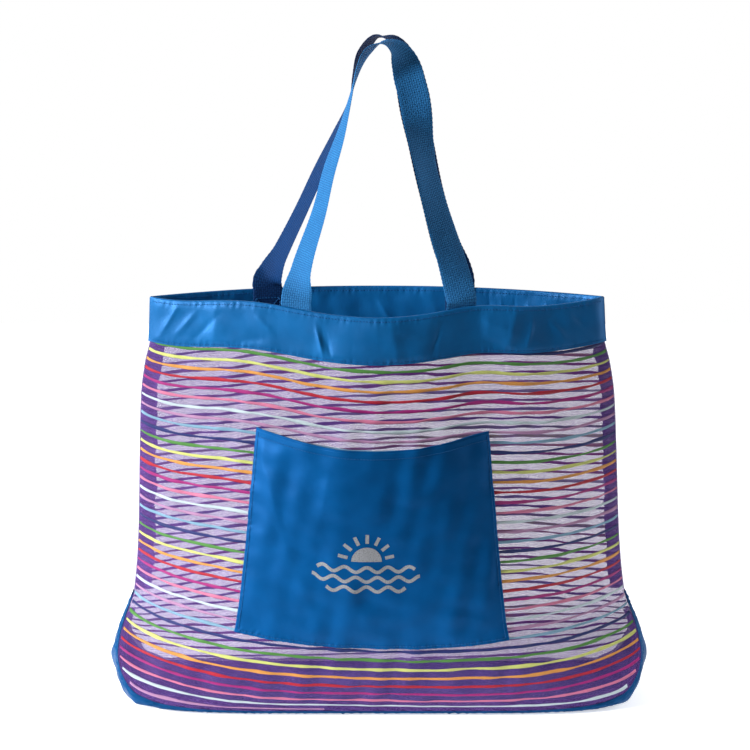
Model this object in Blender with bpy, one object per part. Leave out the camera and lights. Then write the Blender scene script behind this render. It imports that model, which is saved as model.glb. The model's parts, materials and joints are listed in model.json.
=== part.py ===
"""Striped mesh beach tote: two mesh panels, a folded rim band, a boat-shaped gusset, a front pocket and two
webbing handles. Metres, +Z up, front towards -Y, origin on the floor under the middle of the gusset."""

import bisect
import math

import bpy
import numpy as np
from mathutils import Vector

# Driving dimensions
PANEL_HEIGHT = 0.414  # flat height of a side panel, bottom seam to rim
PANEL_HALF_WIDTH = 0.262  # flat half width above the rounded bottom corners
CORNER_RADIUS = 0.040  # rounding of a panel's two bottom corners
BAND_HEIGHT = 0.046  # depth of the folded band round the rim
TIP_HEIGHT = 0.100  # flat height at which the gusset runs out up each side seam

MESH = 0.0010  # thickness of the mesh cloth
NYLON = 0.0008  # thickness of the band, pocket and gusset cloth
WEBBING = 0.0016  # thickness of a handle
WEBBING_WIDTH = 0.030
GAP = 0.0004  # clearance kept between touching pieces
THREAD = 0.0006  # thickness of a line of stitching
THREAD_WIDTH = 0.0009

# Shape of the standing bag, as smooth curves over flat height: seam edge and middle of a panel
EDGE_X = [(0.0, 0.228), (0.004, 0.2480), (0.010, 0.2570), (0.020, 0.2635), (0.034, 0.2662), (0.050, 0.2648),
          (0.068, 0.2605), (0.084, 0.2555), (0.100, 0.2518), (0.160, 0.2455), (0.258, 0.2405), (0.310, 0.2375),
          (0.345, 0.2325), (0.372, 0.2262), (0.414, 0.2235)]
EDGE_Y = [(0.0, 0.0565), (0.004, 0.0550), (0.010, 0.0520), (0.020, 0.0452), (0.034, 0.0342), (0.050, 0.0232),
          (0.068, 0.0120), (0.084, 0.0042), (0.100, 0.0008), (0.160, 0.0006), (0.414, 0.0006)]
EDGE_Z = [(0.0, 0.011), (0.004, 0.020), (0.010, 0.0308), (0.020, 0.0440), (0.034, 0.0565), (0.050, 0.0685),
          (0.068, 0.0830), (0.100, 0.1105), (0.180, 0.188), (0.291, 0.3000), (0.368, 0.3735), (0.414, 0.4188)]
MIDDLE_Y = [(0.0, 0.0670), (0.010, 0.0705), (0.030, 0.0760), (0.065, 0.0808), (0.115, 0.0830),
            (0.200, 0.0770), (0.300, 0.0665), (0.368, 0.0620), (0.414, 0.0600)]
MIDDLE_Z = [(0.0, 0.0055), (0.010, 0.0112), (0.020, 0.0178), (0.040, 0.0348), (0.068, 0.0630), (0.180, 0.1750),
            (0.291, 0.2855), (0.368, 0.3640), (0.414, 0.4110)]
# How square a panel's horizontal lines are across: plan outline, and rise towards the side seams
FRONT_PLAN_POWER = [(0.0, 7.0), (0.030, 4.2), (0.090, 2.9), (0.250, 1.95), (0.414, 1.35)]
FRONT_END_POWER = 1.2  # keeps the front cloth fuller next to the side seams, most of all at the rim
BACK_PLAN_POWER = [(0.0, 7.0), (0.030, 4.2), (0.090, 2.9), (0.250, 2.5), (0.414, 2.3)]
RISE_POWER = [(0.0, 6.0), (0.020, 3.6), (0.090, 2.8), (0.414, 3.0)]
LEAN = 0.0030  # the foot of the bag stands this far to +X of its rim
BACK_RIM_LIFT = 0.005  # the unloaded back panel stands a little higher in its middle

# Soft folds in the front cloth: side, centre across, spread, depth, lowest and highest flat height
FRONT_FOLDS = [(0.112, 0.032, -0.0055, 0.20, 0.500), (0.172, 0.024, 0.0035, 0.22, 0.500),
               (-0.030, 0.030, 0.0030, 0.08, 0.414), (-0.150, 0.035, 0.0025, 0.02, 0.440)]

# The front cloth hangs from the handles' feet: centre across, spread and rise at the rim; full at LIFT_FULL
FRONT_LIFTS = [(-0.125, 0.065, 0.0095), (0.098, 0.050, 0.0065)]
LIFT_FULL = 0.340

# Gusset's middle line, at the widest point of the bag's ends, from a tip down to the floor
GUSSET_END = [(0.0, 0.2512, 0.1085), (0.10, 0.2592, 0.0905), (0.22, 0.2703, 0.0655), (0.34, 0.2742, 0.0460),
              (0.50, 0.2685, 0.0240), (0.64, 0.2595, 0.0070), (0.78, 0.2465, 0.0006), (1.0, 0.2200, 0.0)]
GUSSET_LEAN = 0.0025  # the gusset's ends stand a little less far to +X than the panels' foot

GUSSET_END_MARGIN = 0.012  # how far past the panel's corner the base becomes flat
GUSSET_ACROSS = (-1.0, -0.97, -0.90, -0.68, -0.35, 0.0, 0.35, 0.68, 0.90, 0.97, 1.0)
GUSSET_ROLL = 0.004  # the gusset rolls out this far beyond its seams before it turns under

# Front pocket in flat coordinates of the front panel: bottom and top half widths and heights
POCKET_LEFT = ((-0.1490, 0.0914), (-0.1310, 0.2925))
POCKET_RIGHT = ((0.1330, 0.0853), (0.1195, 0.2915))
POCKET_BOTTOM_SAG = 0.0049
POCKET_TOP_SAG = 0.0045
POCKET_GAPE = 0.0185  # how far the mouth of the pocket stands off the panel

# Handles: across, height and roll of the webbing along each loop, left foot to right foot. Roll 0 faces out of
# the loop's plane, 90 lies across it.
FRONT_LOOP = [(-0.0790, 0.4209, 0), (-0.0780, 0.4290, 12), (-0.0735, 0.4530, 50), (-0.0555, 0.5120, 63),
              (-0.0470, 0.5480, 69), (-0.0352, 0.5850, 77), (-0.0255, 0.6200, 87), (-0.0175, 0.6480, 100),
              (-0.0080, 0.6640, 108), (0.0070, 0.6715, 90), (0.0190, 0.6660, 62), (0.0270, 0.6510, 28),
              (0.0315, 0.6350, 8), (0.0362, 0.6170, 8), (0.0420, 0.5770, 36), (0.0470, 0.5500, 48),
              (0.0565, 0.5145, 40), (0.0645, 0.4880, 31), (0.0730, 0.4610, 24), (0.0808, 0.4310, 8),
              (0.0825, 0.4210, 0)]
BACK_LOOP = [(-0.1110, 0.4202, 10), (-0.1070, 0.4320, 34), (-0.0960, 0.4550, 60), (-0.0762, 0.4970, 65),
             (-0.0585, 0.5370, 70), (-0.0410, 0.5750, 77), (-0.0270, 0.6090, 87), (-0.0205, 0.6380, 102),
             (-0.0130, 0.6590, 114), (0.0005, 0.6735, 104), (0.0140, 0.6700, 80), (0.0240, 0.6560, 50),
             (0.0300, 0.6350, 26), (0.0358, 0.6050, 16), (0.0435, 0.5650, 34), (0.0535, 0.5200, 36),
             (0.0705, 0.4600, 22), (0.0818, 0.4320, 8), (0.0840, 0.4202, 0)]
LOOP_TOP_Y = 0.0165  # the two loops lean together until their webbing lies side by side
TAIL_DEPTH = 0.038  # how far a handle's end runs down inside the band
TAIL_STITCH_INSET = 0.003  # from the tail's edges to its box of stitching
TAIL_TOP_STITCH = 0.009  # from the rim down to the box of stitching
HINGE_ABOVE_RIM = 0.0010  # a handle folds about a line through both its feet, just over the rim
HINGE_OUTSIDE_RIM = 0.0045  # and this far outside the middle of the folded band

PANEL_ACROSS = 30
PANEL_UP = 17
HANDLE_STATIONS = 46
BAND_END = 0.990  # the front and back bands stop short of each other at the side seams


def smooth_curve(points):
    """A monotone smooth curve through (position, value) points, as a function of position."""
    xs = [p[0] for p in points]
    ys = [p[1] for p in points]
    steps = [(ys[i + 1] - ys[i]) / (xs[i + 1] - xs[i]) for i in range(len(xs) - 1)]
    slopes = [steps[0]]
    for before, after in zip(steps, steps[1:]):
        slopes.append(0.0 if before * after <= 0 else 2 * before * after / (before + after))
    slopes.append(steps[-1])

    def value(x):
        x = min(max(x, xs[0]), xs[-1])
        i = min(max(bisect.bisect_right(xs, x) - 1, 0), len(xs) - 2)
        width = xs[i + 1] - xs[i]
        u = (x - xs[i]) / width
        return (ys[i] * (1 + 2 * u) * (1 - u) ** 2 + ys[i + 1] * u * u * (3 - 2 * u)
                + width * (slopes[i] * u * (1 - u) ** 2 - slopes[i + 1] * u * u * (1 - u)))

    return value


edge_x = smooth_curve(EDGE_X)
edge_y = smooth_curve(EDGE_Y)
edge_z = smooth_curve(EDGE_Z)
middle_y = smooth_curve(MIDDLE_Y)
middle_z = smooth_curve(MIDDLE_Z)
front_plan_power = smooth_curve(FRONT_PLAN_POWER)
back_plan_power = smooth_curve(BACK_PLAN_POWER)
rise_power = smooth_curve(RISE_POWER)


def half_width(h):
    """Flat half width of a panel at flat height h."""
    if h >= CORNER_RADIUS:
        return PANEL_HALF_WIDTH
    drop = CORNER_RADIUS - h
    return PANEL_HALF_WIDTH - CORNER_RADIUS + math.sqrt(max(CORNER_RADIUS ** 2 - drop ** 2, 0.0))


def fold_depth(a, h):
    """Outward push of the front cloth's soft folds at flat position (a, h)."""
    push = 0.0
    for centre, spread, depth, low, high in FRONT_FOLDS:
        across = math.exp(-((a - centre) / spread) ** 2)
        u = min(max((h - low) / (high - low), 0.0), 1.0)
        push += depth * across * math.sin(math.pi * u)
    return push


def lift(x, h):
    """Rise of the front cloth where it hangs from the handles."""
    full = min(max(h / LIFT_FULL, 0.0), 1.0)
    rise = sum(height * math.exp(-((x - centre) / spread) ** 2) for centre, spread, height in FRONT_LIFTS)
    return rise * full * full * (3 - 2 * full)


def lean(h):
    """Sideways shift of the whole bag at flat height h."""
    return LEAN * (1 - h / PANEL_HEIGHT)


def panel_point(front, s, h):
    """Point of a panel's middle surface: s runs -1 to 1 between the side seams, h up from the bottom seam."""
    rise = abs(s) ** rise_power(h)
    power = front_plan_power(h) + FRONT_END_POWER * s ** 6 * h / PANEL_HEIGHT if front else back_plan_power(h)
    plan = abs(s) ** power
    depth = edge_y(h) + (middle_y(h) - edge_y(h)) * (1 - plan)
    low = middle_z(h) + (0.0 if front else BACK_RIM_LIFT * (h / PANEL_HEIGHT) ** 3)
    z = low + (edge_z(h) - low) * rise
    if front:
        depth += fold_depth(s * half_width(h), h) * (1 - s * s)
        z += lift(s * edge_x(h), h) * (1 - s ** 8)
    return np.array([edge_x(h) * s + lean(h), -depth if front else depth, z])


def panel_normal(front, s, h):
    """Outward unit normal of a panel."""
    ds = 0.004
    dh = 0.002
    across = panel_point(front, min(s + ds, 1), h) - panel_point(front, max(s - ds, -1), h)
    up = panel_point(front, s, min(h + dh, PANEL_HEIGHT)) - panel_point(front, s, max(h - dh, 0))
    normal = np.cross(across, up)
    normal /= np.linalg.norm(normal)
    return normal if (normal[1] < 0) == front else -normal


def panel_offset(front, s, h, out):
    return panel_point(front, s, h) + out * panel_normal(front, s, h)


def flat_offset(front, a, h, out):
    """As panel_offset, for a flat position in metres across."""
    return panel_offset(front, a / half_width(h), h, out)


def make_object(name, vertices, faces, material):
    mesh = bpy.data.meshes.new(name)
    mesh.from_pydata([tuple(v) for v in vertices], [], faces)
    mesh.update()
    mesh.shade_smooth()
    mesh.set_sharp_from_angle(angle=math.radians(50))
    mesh.materials.append(material)
    obj = bpy.data.objects.new(name, mesh)
    bpy.context.scene.collection.objects.link(obj)
    return obj


def outward(vertices, faces):
    """The faces turned to point out of the closed body."""
    total = 0.0
    for face in faces:
        for i in range(1, len(face) - 1):
            total += np.dot(vertices[face[0]], np.cross(vertices[face[i]], vertices[face[i + 1]]))
    return faces if total > 0 else [tuple(reversed(face)) for face in faces]


def loft(rings):
    """Closed body through equal closed rings of points, with both ends capped."""
    count = len(rings[0])
    vertices = [p for ring in rings for p in ring]
    faces = []
    for r in range(len(rings) - 1):
        for i in range(count):
            j = (i + 1) % count
            faces.append((r * count + i, r * count + j, (r + 1) * count + j, (r + 1) * count + i))
    faces.append(tuple(range(count - 1, -1, -1)))
    faces.append(tuple(range((len(rings) - 1) * count, len(rings) * count)))
    return vertices, outward(vertices, faces)


def sheet(columns, rows, point):
    """Closed thin body over a grid: point(column, row, side) gives its outer side (1) and inner side (-1)."""
    vertices = [point(c, r, side) for side in (1, -1) for c in columns for r in rows]
    high = len(rows)
    inner = len(columns) * high
    faces = []
    for c in range(len(columns) - 1):
        for r in range(high - 1):
            quad = (c * high + r, (c + 1) * high + r, (c + 1) * high + r + 1, c * high + r + 1)
            faces.append(quad)
            faces.append(tuple(inner + i for i in reversed(quad)))
    last = len(columns) - 1
    for r in range(high - 1):
        faces.append((r + 1, inner + r + 1, inner + r, r))
        faces.append((last * high + r, inner + last * high + r, inner + last * high + r + 1, last * high + r + 1))
    for c in range(last):
        faces.append((c * high, inner + c * high, inner + (c + 1) * high, (c + 1) * high))
        top = c * high + high - 1
        faces.append((top + high, inner + top + high, inner + top, top))
    return vertices, outward(vertices, faces)


def ribbon(points, normals, width, thickness):
    """Closed flat strip along points, lying across their normals."""
    rings = []
    for i, (point, normal) in enumerate(zip(points, normals)):
        along = points[min(i + 1, len(points) - 1)] - points[max(i - 1, 0)]
        side = np.cross(along, normal)
        side *= width / 2 / np.linalg.norm(side)
        lift = normal * thickness / 2
        rings.append([point - side - lift, point + side - lift, point + side + lift, point - side + lift])
    return loft(rings)


def spaced(low, high, count):
    return [low + (high - low) * i / count for i in range(count + 1)]


def crowded_ends(count):
    """-1 to 1, with the steps closer together towards both ends."""
    return [math.copysign(1 - (1 - abs(u)) ** 1.25, u) for u in spaced(-1, 1, count)]


def material(name, colour, roughness):
    made = bpy.data.materials.new(name)
    made.use_nodes = True
    shader = made.node_tree.nodes["Principled BSDF"]
    shader.inputs["Base Color"].default_value = (*colour, 1.0)
    shader.inputs["Roughness"].default_value = roughness
    shader.inputs["Metallic"].default_value = 0.0
    return made


def mesh_panel(name, front, cloth):
    """Mesh side panel from the bottom seam up into the fold of the rim band."""
    top = PANEL_HEIGHT - NYLON - 2 * GAP
    rows = [0.0, 0.006, 0.014, 0.024, 0.038, 0.056] + spaced(0.080, PANEL_HEIGHT - BAND_HEIGHT, PANEL_UP - 7) + [top]
    columns = crowded_ends(PANEL_ACROSS)
    vertices, faces = sheet(columns, rows, lambda s, h, side: panel_offset(front, s, h, side * MESH / 2))
    return make_object(name, vertices, faces, cloth)


def rim_band(name, front, cloth):
    """Nylon band folded over the panel's top edge: outer face, fold and inner facing in one piece."""
    slot = MESH / 2 + GAP
    skin = slot + NYLON
    bottom = PANEL_HEIGHT - BAND_HEIGHT
    inside_top = PANEL_HEIGHT - NYLON - GAP / 2
    profile = [(bottom, skin), (PANEL_HEIGHT - NYLON, skin), (PANEL_HEIGHT, skin * 0.55),
               (PANEL_HEIGHT, -skin * 0.55), (PANEL_HEIGHT - NYLON, -skin), (bottom, -skin),
               (bottom, -slot), (inside_top, -slot), (inside_top, slot), (bottom, slot)]
    rings = []
    for s in crowded_ends(PANEL_ACROSS):
        s *= BAND_END
        rings.append([panel_offset(front, s, h, out) for h, out in profile])
    vertices, faces = loft(rings)
    return make_object(name, vertices, faces, cloth)


def seam_path(front):
    """The bottom seam, from the left tip round under the bag to the right tip, as (s, h) and as points."""
    side = [(-1.0, h) for h in spaced(TIP_HEIGHT, CORNER_RADIUS, 4)]
    side += [(-1.0, h) for h in (0.030, 0.021, 0.014, 0.008, 0.0035, 0.0)]
    bottom = [(s, 0.0) for s in spaced(-0.94, 0.94, 16)]
    stations = side + bottom + [(-s, h) for s, h in reversed(side)]
    return stations, [panel_point(front, s, h) for s, h in stations]


def seam_clearance(s, h):
    """Shift from the panel's bottom seam to the gusset's edge: below it, or beyond it at the bag's ends."""
    clear = MESH / 2 + GAP + NYLON / 2
    if h == 0:
        return clear * np.array([0.0, 0.0, -1.0])
    return 1.5 * clear * np.array([math.copysign(1.0, s), 0.0, -0.35])


def gusset_grid():
    """Middle surface of the gusset: one row of points across it for each station along the bottom seam."""
    stations, seam = seam_path(True)
    end_x = smooth_curve([(u, x) for u, x, _ in GUSSET_END])
    end_z = smooth_curve([(u, z) for u, _, z in GUSSET_END])
    run = [0.0]
    for before, after in zip(seam, seam[1:]):
        run.append(run[-1] + float(np.linalg.norm(after - before)))
    corner = next(i for i, (_, h) in enumerate(stations) if h == 0)
    end_length = run[corner] + GUSSET_END_MARGIN
    rows = []
    for (s, h), point, length in zip(stations, seam, run):
        level = min(min(length, run[-1] - length) / end_length, 1.0)
        edge = point + seam_clearance(s, h)
        middle = np.array([point[0], 0.0, 0.0])
        if level < 1:
            middle = np.array([math.copysign(end_x(level), s) + GUSSET_LEAN, 0.0, end_z(level)])
        to_middle = middle - np.array([edge[0], 0.0, edge[2]])
        squareness = 2.2 + 7.8 * level ** 2
        row = []
        for v in GUSSET_ACROSS:
            roll = math.copysign(GUSSET_ROLL * level * math.sin(math.pi * abs(v) ** 6), v)
            width = v * max(abs(edge[1]), 0.0012)
            row.append(np.array([edge[0], width + roll, edge[2]]) + to_middle * (1 - abs(v) ** squareness))
        rows.append(row)
    return np.array(rows)


def grid_normals(grid, inside):
    """Unit normals of a grid of points, all facing away from the point inside it."""
    along = np.gradient(grid, axis=0)
    across = np.gradient(grid, axis=1)
    normals = np.cross(along, across)
    normals /= np.linalg.norm(normals, axis=2, keepdims=True)
    facing = np.sum(normals * (grid - inside), axis=2, keepdims=True)
    return np.where(facing < 0, -normals, normals)


def gusset(cloth):
    """Boat-shaped base: one sheet between the front and back bottom seams, running out up the side seams."""
    grid = gusset_grid()
    grid[:, :, 2] += NYLON / 2
    normals = grid_normals(grid, np.array([0.0, 0.0, 0.06]))

    def point(i, j, side):
        here = grid[i, j] + side * NYLON / 2 * normals[i, j]
        here[2] = max(here[2], 0.0)
        return here

    vertices, faces = sheet(range(grid.shape[0]), range(grid.shape[1]), point)
    return make_object("bottom_gusset", vertices, faces, cloth)


def side_seam(name, sign, cloth):
    """The two panels' side edges, stitched together and turned in, on the bag's middle plane."""
    width = 0.013
    columns = spaced(0.0, width, 1)
    rows = spaced(TIP_HEIGHT + 0.004, PANEL_HEIGHT - 0.002, 12)

    def point(c, h, side):
        return np.array([sign * (edge_x(h) - 0.0045 - c) + lean(h), side * 0.0008, edge_z(h)])

    vertices, faces = sheet(columns, rows, point)
    return make_object(name, vertices, faces, cloth)


def bottom_seam(name, front, cloth):
    """The gusset's and panel's edges stitched together, standing inside the bag along the bottom seam."""
    stations, points = seam_path(front)
    into = 1.0 if front else -1.0
    rows = []
    for i in range(2, len(points) - 2):
        s, h = stations[i]
        turn = min(h / 0.012, 1.0) * math.copysign(1.0, s)
        inward = np.array([-0.72 * turn, into * (0.86 - 0.14 * abs(turn)), 0.50 - 0.42 * abs(turn)])
        inward /= np.linalg.norm(inward)
        across = np.cross(points[i + 1] - points[i - 1], inward)
        across *= 0.0006 / np.linalg.norm(across)
        rows.append((points[i] + inward * 0.0035, points[i] + inward * 0.0105, across))
    vertices, faces = sheet(range(len(rows)), range(2), lambda i, j, side: rows[i][j] + side * rows[i][2])
    return make_object(name, vertices, faces, cloth)


def pocket_point(u, v, out):
    """Point of the pocket: u runs -1 to 1 across, v runs 0 to 1 from its bottom seam to its mouth."""
    (low_left, low_left_h), (top_left, top_left_h) = POCKET_LEFT
    (low_right, low_right_h), (top_right, top_right_h) = POCKET_RIGHT
    t = (u + 1) / 2
    left = low_left + (top_left - low_left) * v
    right = low_right + (top_right - low_right) * v
    a = left + (right - left) * t
    left_h = low_left_h + (top_left_h - low_left_h) * v
    right_h = low_right_h + (top_right_h - low_right_h) * v
    sag = (POCKET_BOTTOM_SAG * (1 - v) + POCKET_TOP_SAG * v * v) * (1 - abs(u) ** 2.4)
    h = left_h + (right_h - left_h) * t - sag
    gape = POCKET_GAPE * v ** 1.6 * (1 - abs(u) ** 2.6) + 0.0016 * (1 - (2 * v - 1) ** 4) * (1 - u ** 4)
    lift = MESH / 2 + GAP + NYLON / 2 + 0.0004
    return flat_offset(True, a, h, lift + gape + out)


def front_pocket(cloth):
    """Pocket sewn to the front panel by its sides and bottom, its mouth standing open under a folded hem."""
    across = [math.copysign(abs(u) ** 0.85, u) for u in spaced(-1, 1, 16)]
    vertices, faces = sheet(across, spaced(0, 0.955, 11), lambda u, v, side: pocket_point(u, v, side * NYLON / 2))
    return make_object("front_pocket", vertices, faces, cloth)


def pocket_hem(cloth):
    """The pocket's top edge, folded twice to the inside."""
    across = [math.copysign(abs(u) ** 0.85, u) for u in spaced(-1, 1, 16)]
    rows = [0.958, 1.0]
    vertices, faces = sheet(across, rows, lambda u, v, side: pocket_point(u, v, side * NYLON * 0.8))
    return make_object("pocket_hem", vertices, faces, cloth)


def stitch_line(points, normals):
    return ribbon(points, normals, THREAD_WIDTH, THREAD)


def panel_stitch(front, h, out, count=PANEL_ACROSS):
    """A line of stitching across a panel at flat height h."""
    across = [s * 0.985 for s in crowded_ends(count)]
    points = [panel_offset(front, s, h, out) for s in across]
    return stitch_line(points, [panel_normal(front, s, h) for s in across])


def band_stitches(side, front, thread):
    """The two lines that hold the band: one along its lower edge, one just under the rim."""
    out = MESH / 2 + GAP + NYLON + GAP + THREAD / 2
    low = PANEL_HEIGHT - BAND_HEIGHT + 0.0025
    for place, h in (("lower", low), ("rim", PANEL_HEIGHT - 0.0040)):
        make_object(f"band_stitch_{place}_{side}", *panel_stitch(front, h, out), thread)


def pocket_line(name, outline, out, thread):
    """A line of stitching on the pocket through (u, v) places, out from the pocket's middle surface."""
    normals = []
    for u, v in outline:
        normal = pocket_point(u, v, 0.001) - pocket_point(u, v, 0.0)
        normals.append(normal / np.linalg.norm(normal))
    seam = stitch_line([pocket_point(u, v, out) for u, v in outline], normals)
    return make_object(name, *seam, thread)


def pocket_stitches(thread):
    """Stitching round the pocket's sides and bottom, and along its hem."""
    low = 0.012
    side_u = 0.975
    outline = [(-side_u, v) for v in spaced(0.94, 0.10, 9)] + [(-side_u, low)]
    outline += [(u * side_u, low) for u in spaced(-1, 1, 18)[1:-1]]
    outline += [(side_u, low)] + [(side_u, v) for v in spaced(0.10, 0.94, 9)]
    pocket_line("pocket_stitching", outline, NYLON / 2 + GAP + THREAD / 2, thread)
    hem = [(u * 0.955, 0.968) for u in spaced(-1, 1, 24)]
    pocket_line("pocket_hem_stitching", hem, NYLON * 0.8 + GAP + THREAD / 2, thread)


def rim_point(front, a):
    """Point of the band's middle surface at the rim, a metres across."""
    return panel_point(front, a / edge_x(PANEL_HEIGHT), PANEL_HEIGHT)


def loop_frame(loop, foot_y, top_y):
    """Points and width directions of a handle, resampled evenly along its loop."""
    keys = []
    run = [0.0]
    low, high = loop[0][1], max(p[1] for p in loop)
    for across, height, roll in loop:
        lean = (height - low) / (high - low)
        foot = foot_y[0] if across < 0.5 * (loop[0][0] + loop[-1][0]) else foot_y[1]
        keys.append((across, foot + (top_y - foot) * lean, height, roll))
    for before, after in zip(keys, keys[1:]):
        run.append(run[-1] + math.dist(before[:3], after[:3]))
    curves = [smooth_curve([(r, key[i]) for r, key in zip(run, keys)]) for i in range(4)]
    points = []
    widths = []
    for d in spaced(0, run[-1], HANDLE_STATIONS):
        here = np.array([curve(d) for curve in curves[:3]])
        ahead = np.array([curve(min(d + 0.003, run[-1])) for curve in curves[:3]])
        behind = np.array([curve(max(d - 0.003, 0.0)) for curve in curves[:3]])
        along = (ahead - behind) / np.linalg.norm(ahead - behind)
        roll = math.radians(curves[3](d))
        flat = np.array([along[2], 0.0, -along[0]])
        width = math.cos(roll) * flat + math.sin(roll) * np.array([0.0, -1.0, 0.0])
        width -= along * np.dot(width, along)
        points.append(here)
        widths.append((width / np.linalg.norm(width), along))
    return points, widths


def tail_offset():
    return MESH / 2 + GAP + NYLON + GAP + WEBBING / 2


def handle(name, front, loop, cloth):
    """Webbing loop above the rim, built about its hinge line."""
    sign = 1 if front else -1
    feet = [rim_point(front, loop[i][0])[1] + sign * tail_offset() for i in (0, -1)]
    points, frames = loop_frame(loop, feet, -sign * LOOP_TOP_Y)
    pivot = hinge_point(front, loop[0][0])
    rings = []
    for point, (width, along) in zip(points, frames):
        face = np.cross(width, along)
        w = width * WEBBING_WIDTH / 2
        t = face * WEBBING / 2
        rings.append([point - pivot + a * w + b * t for a, b in ((-1, -1), (1, -1), (1, 1), (-1, 1))])
    vertices, faces = loft(rings)
    obj = make_object(name, vertices, faces, cloth)
    obj.location = Vector(pivot)
    return obj


def hinge_point(front, a):
    """Point of a handle's fold line by the foot that stands a metres across."""
    outside = -HINGE_OUTSIDE_RIM if front else HINGE_OUTSIDE_RIM
    return rim_point(front, a) + np.array([0.0, outside, HINGE_ABOVE_RIM])


def tail(name, front, a, cloth):
    """A handle's sewn-down end, lying on the inner facing of the band."""
    across = a / edge_x(PANEL_HEIGHT)
    half = WEBBING_WIDTH / 2 / edge_x(PANEL_HEIGHT)
    columns = [across - half, across, across + half]
    rows = spaced(PANEL_HEIGHT - TAIL_DEPTH, PANEL_HEIGHT - 0.001, 3)
    inside = -tail_offset()
    vertices, faces = sheet(columns, rows, lambda s, h, side: panel_offset(front, s, h, inside + side * WEBBING / 2))
    return make_object(name, vertices, faces, cloth)


def tail_stitches(name, front, a, thread):
    """A box of stitching that holds a handle's end to the band."""
    high = PANEL_HEIGHT - TAIL_TOP_STITCH
    low = PANEL_HEIGHT - TAIL_DEPTH + TAIL_STITCH_INSET
    side = WEBBING_WIDTH / 2 - TAIL_STITCH_INSET
    places = [(-side, h) for h in spaced(high, low, 4)] + [(x, low) for x in spaced(-side, side, 4)[1:-1]]
    places += [(side, h) for h in spaced(low, high, 4)] + [(x, high) for x in spaced(side, 0.0015 - side, 4)[1:]]
    out = -(tail_offset() + WEBBING / 2 + GAP + THREAD / 2)
    across = [((a + x) / edge_x(PANEL_HEIGHT), h) for x, h in places]
    points = [panel_offset(front, s, h, out) for s, h in across]
    make_object(name, *stitch_line(points, [panel_normal(front, s, h) for s, h in across]), thread)


def main():
    for old in list(bpy.data.objects):
        bpy.data.objects.remove(old, do_unlink=True)
    mesh_cloth = material("striped_mesh", (0.42, 0.30, 0.55), 0.75)
    nylon = material("blue_nylon", (0.01, 0.10, 0.30), 0.38)
    webbing = material("blue_webbing", (0.02, 0.12, 0.35), 0.65)
    thread = material("blue_thread", (0.01, 0.08, 0.26), 0.60)
    for front, side in ((True, "front"), (False, "back")):
        loop = FRONT_LOOP if front else BACK_LOOP
        mesh_panel(f"{side}_mesh_panel", front, mesh_cloth)
        rim_band(f"rim_band_{side}", front, nylon)
        bottom_seam(f"bottom_seam_{side}", front, mesh_cloth)
        band_stitches(side, front, thread)
        handle(f"handle_{side}", front, loop, webbing)
        for hand, foot in (("left", loop[0]), ("right", loop[-1])):
            tail(f"handle_tail_{side}_{hand}", front, foot[0], webbing)
            tail_stitches(f"tail_stitch_{side}_{hand}", front, foot[0], thread)
    for hand, sign in (("left", -1), ("right", 1)):
        side_seam(f"side_seam_{hand}", sign, mesh_cloth)
    gusset(nylon)
    front_pocket(nylon)
    pocket_hem(nylon)
    pocket_stitches(thread)


main()
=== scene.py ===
"""Looks of the striped mesh beach tote: net panels with knitted stripes, folded nylon rim band, nylon pocket
and gusset, twisted webbing handles and real stitches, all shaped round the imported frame."""

import json
import math

import bpy
import numpy as np
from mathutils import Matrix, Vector


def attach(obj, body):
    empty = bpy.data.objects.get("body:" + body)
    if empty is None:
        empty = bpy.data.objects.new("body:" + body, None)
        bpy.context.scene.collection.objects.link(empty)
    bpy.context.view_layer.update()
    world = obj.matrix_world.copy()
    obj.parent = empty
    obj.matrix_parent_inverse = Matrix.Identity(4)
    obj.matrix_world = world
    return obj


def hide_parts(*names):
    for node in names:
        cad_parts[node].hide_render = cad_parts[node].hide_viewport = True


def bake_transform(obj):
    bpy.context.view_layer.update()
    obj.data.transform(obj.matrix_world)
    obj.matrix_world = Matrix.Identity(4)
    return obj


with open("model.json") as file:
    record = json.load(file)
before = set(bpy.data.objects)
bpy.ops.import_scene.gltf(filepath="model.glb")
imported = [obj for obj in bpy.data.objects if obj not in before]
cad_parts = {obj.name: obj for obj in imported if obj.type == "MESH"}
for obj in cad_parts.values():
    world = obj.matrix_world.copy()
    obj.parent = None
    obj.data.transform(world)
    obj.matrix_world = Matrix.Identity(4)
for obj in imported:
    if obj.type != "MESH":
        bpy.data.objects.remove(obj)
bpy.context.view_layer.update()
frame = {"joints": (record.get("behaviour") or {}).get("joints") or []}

# Flat sizes of the cut pieces, as in the CAD model
PANEL_HEIGHT = 0.414
PANEL_HALF_WIDTH = 0.262
CORNER_RADIUS = 0.040
BAND_HEIGHT = 0.046
BAND_BOTTOM = PANEL_HEIGHT - BAND_HEIGHT
TIP_HEIGHT = 0.100
WEBBING_WIDTH = 0.030
TAIL_DEPTH = 0.038

# Cloth thicknesses and how far each layer lies from a panel's middle surface
NET = 0.0010
NYLON = 0.0008
WEBBING = 0.0013
SLOT = 0.0009
SKIN = 0.0017
TAIL_OUT = 0.0029

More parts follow.
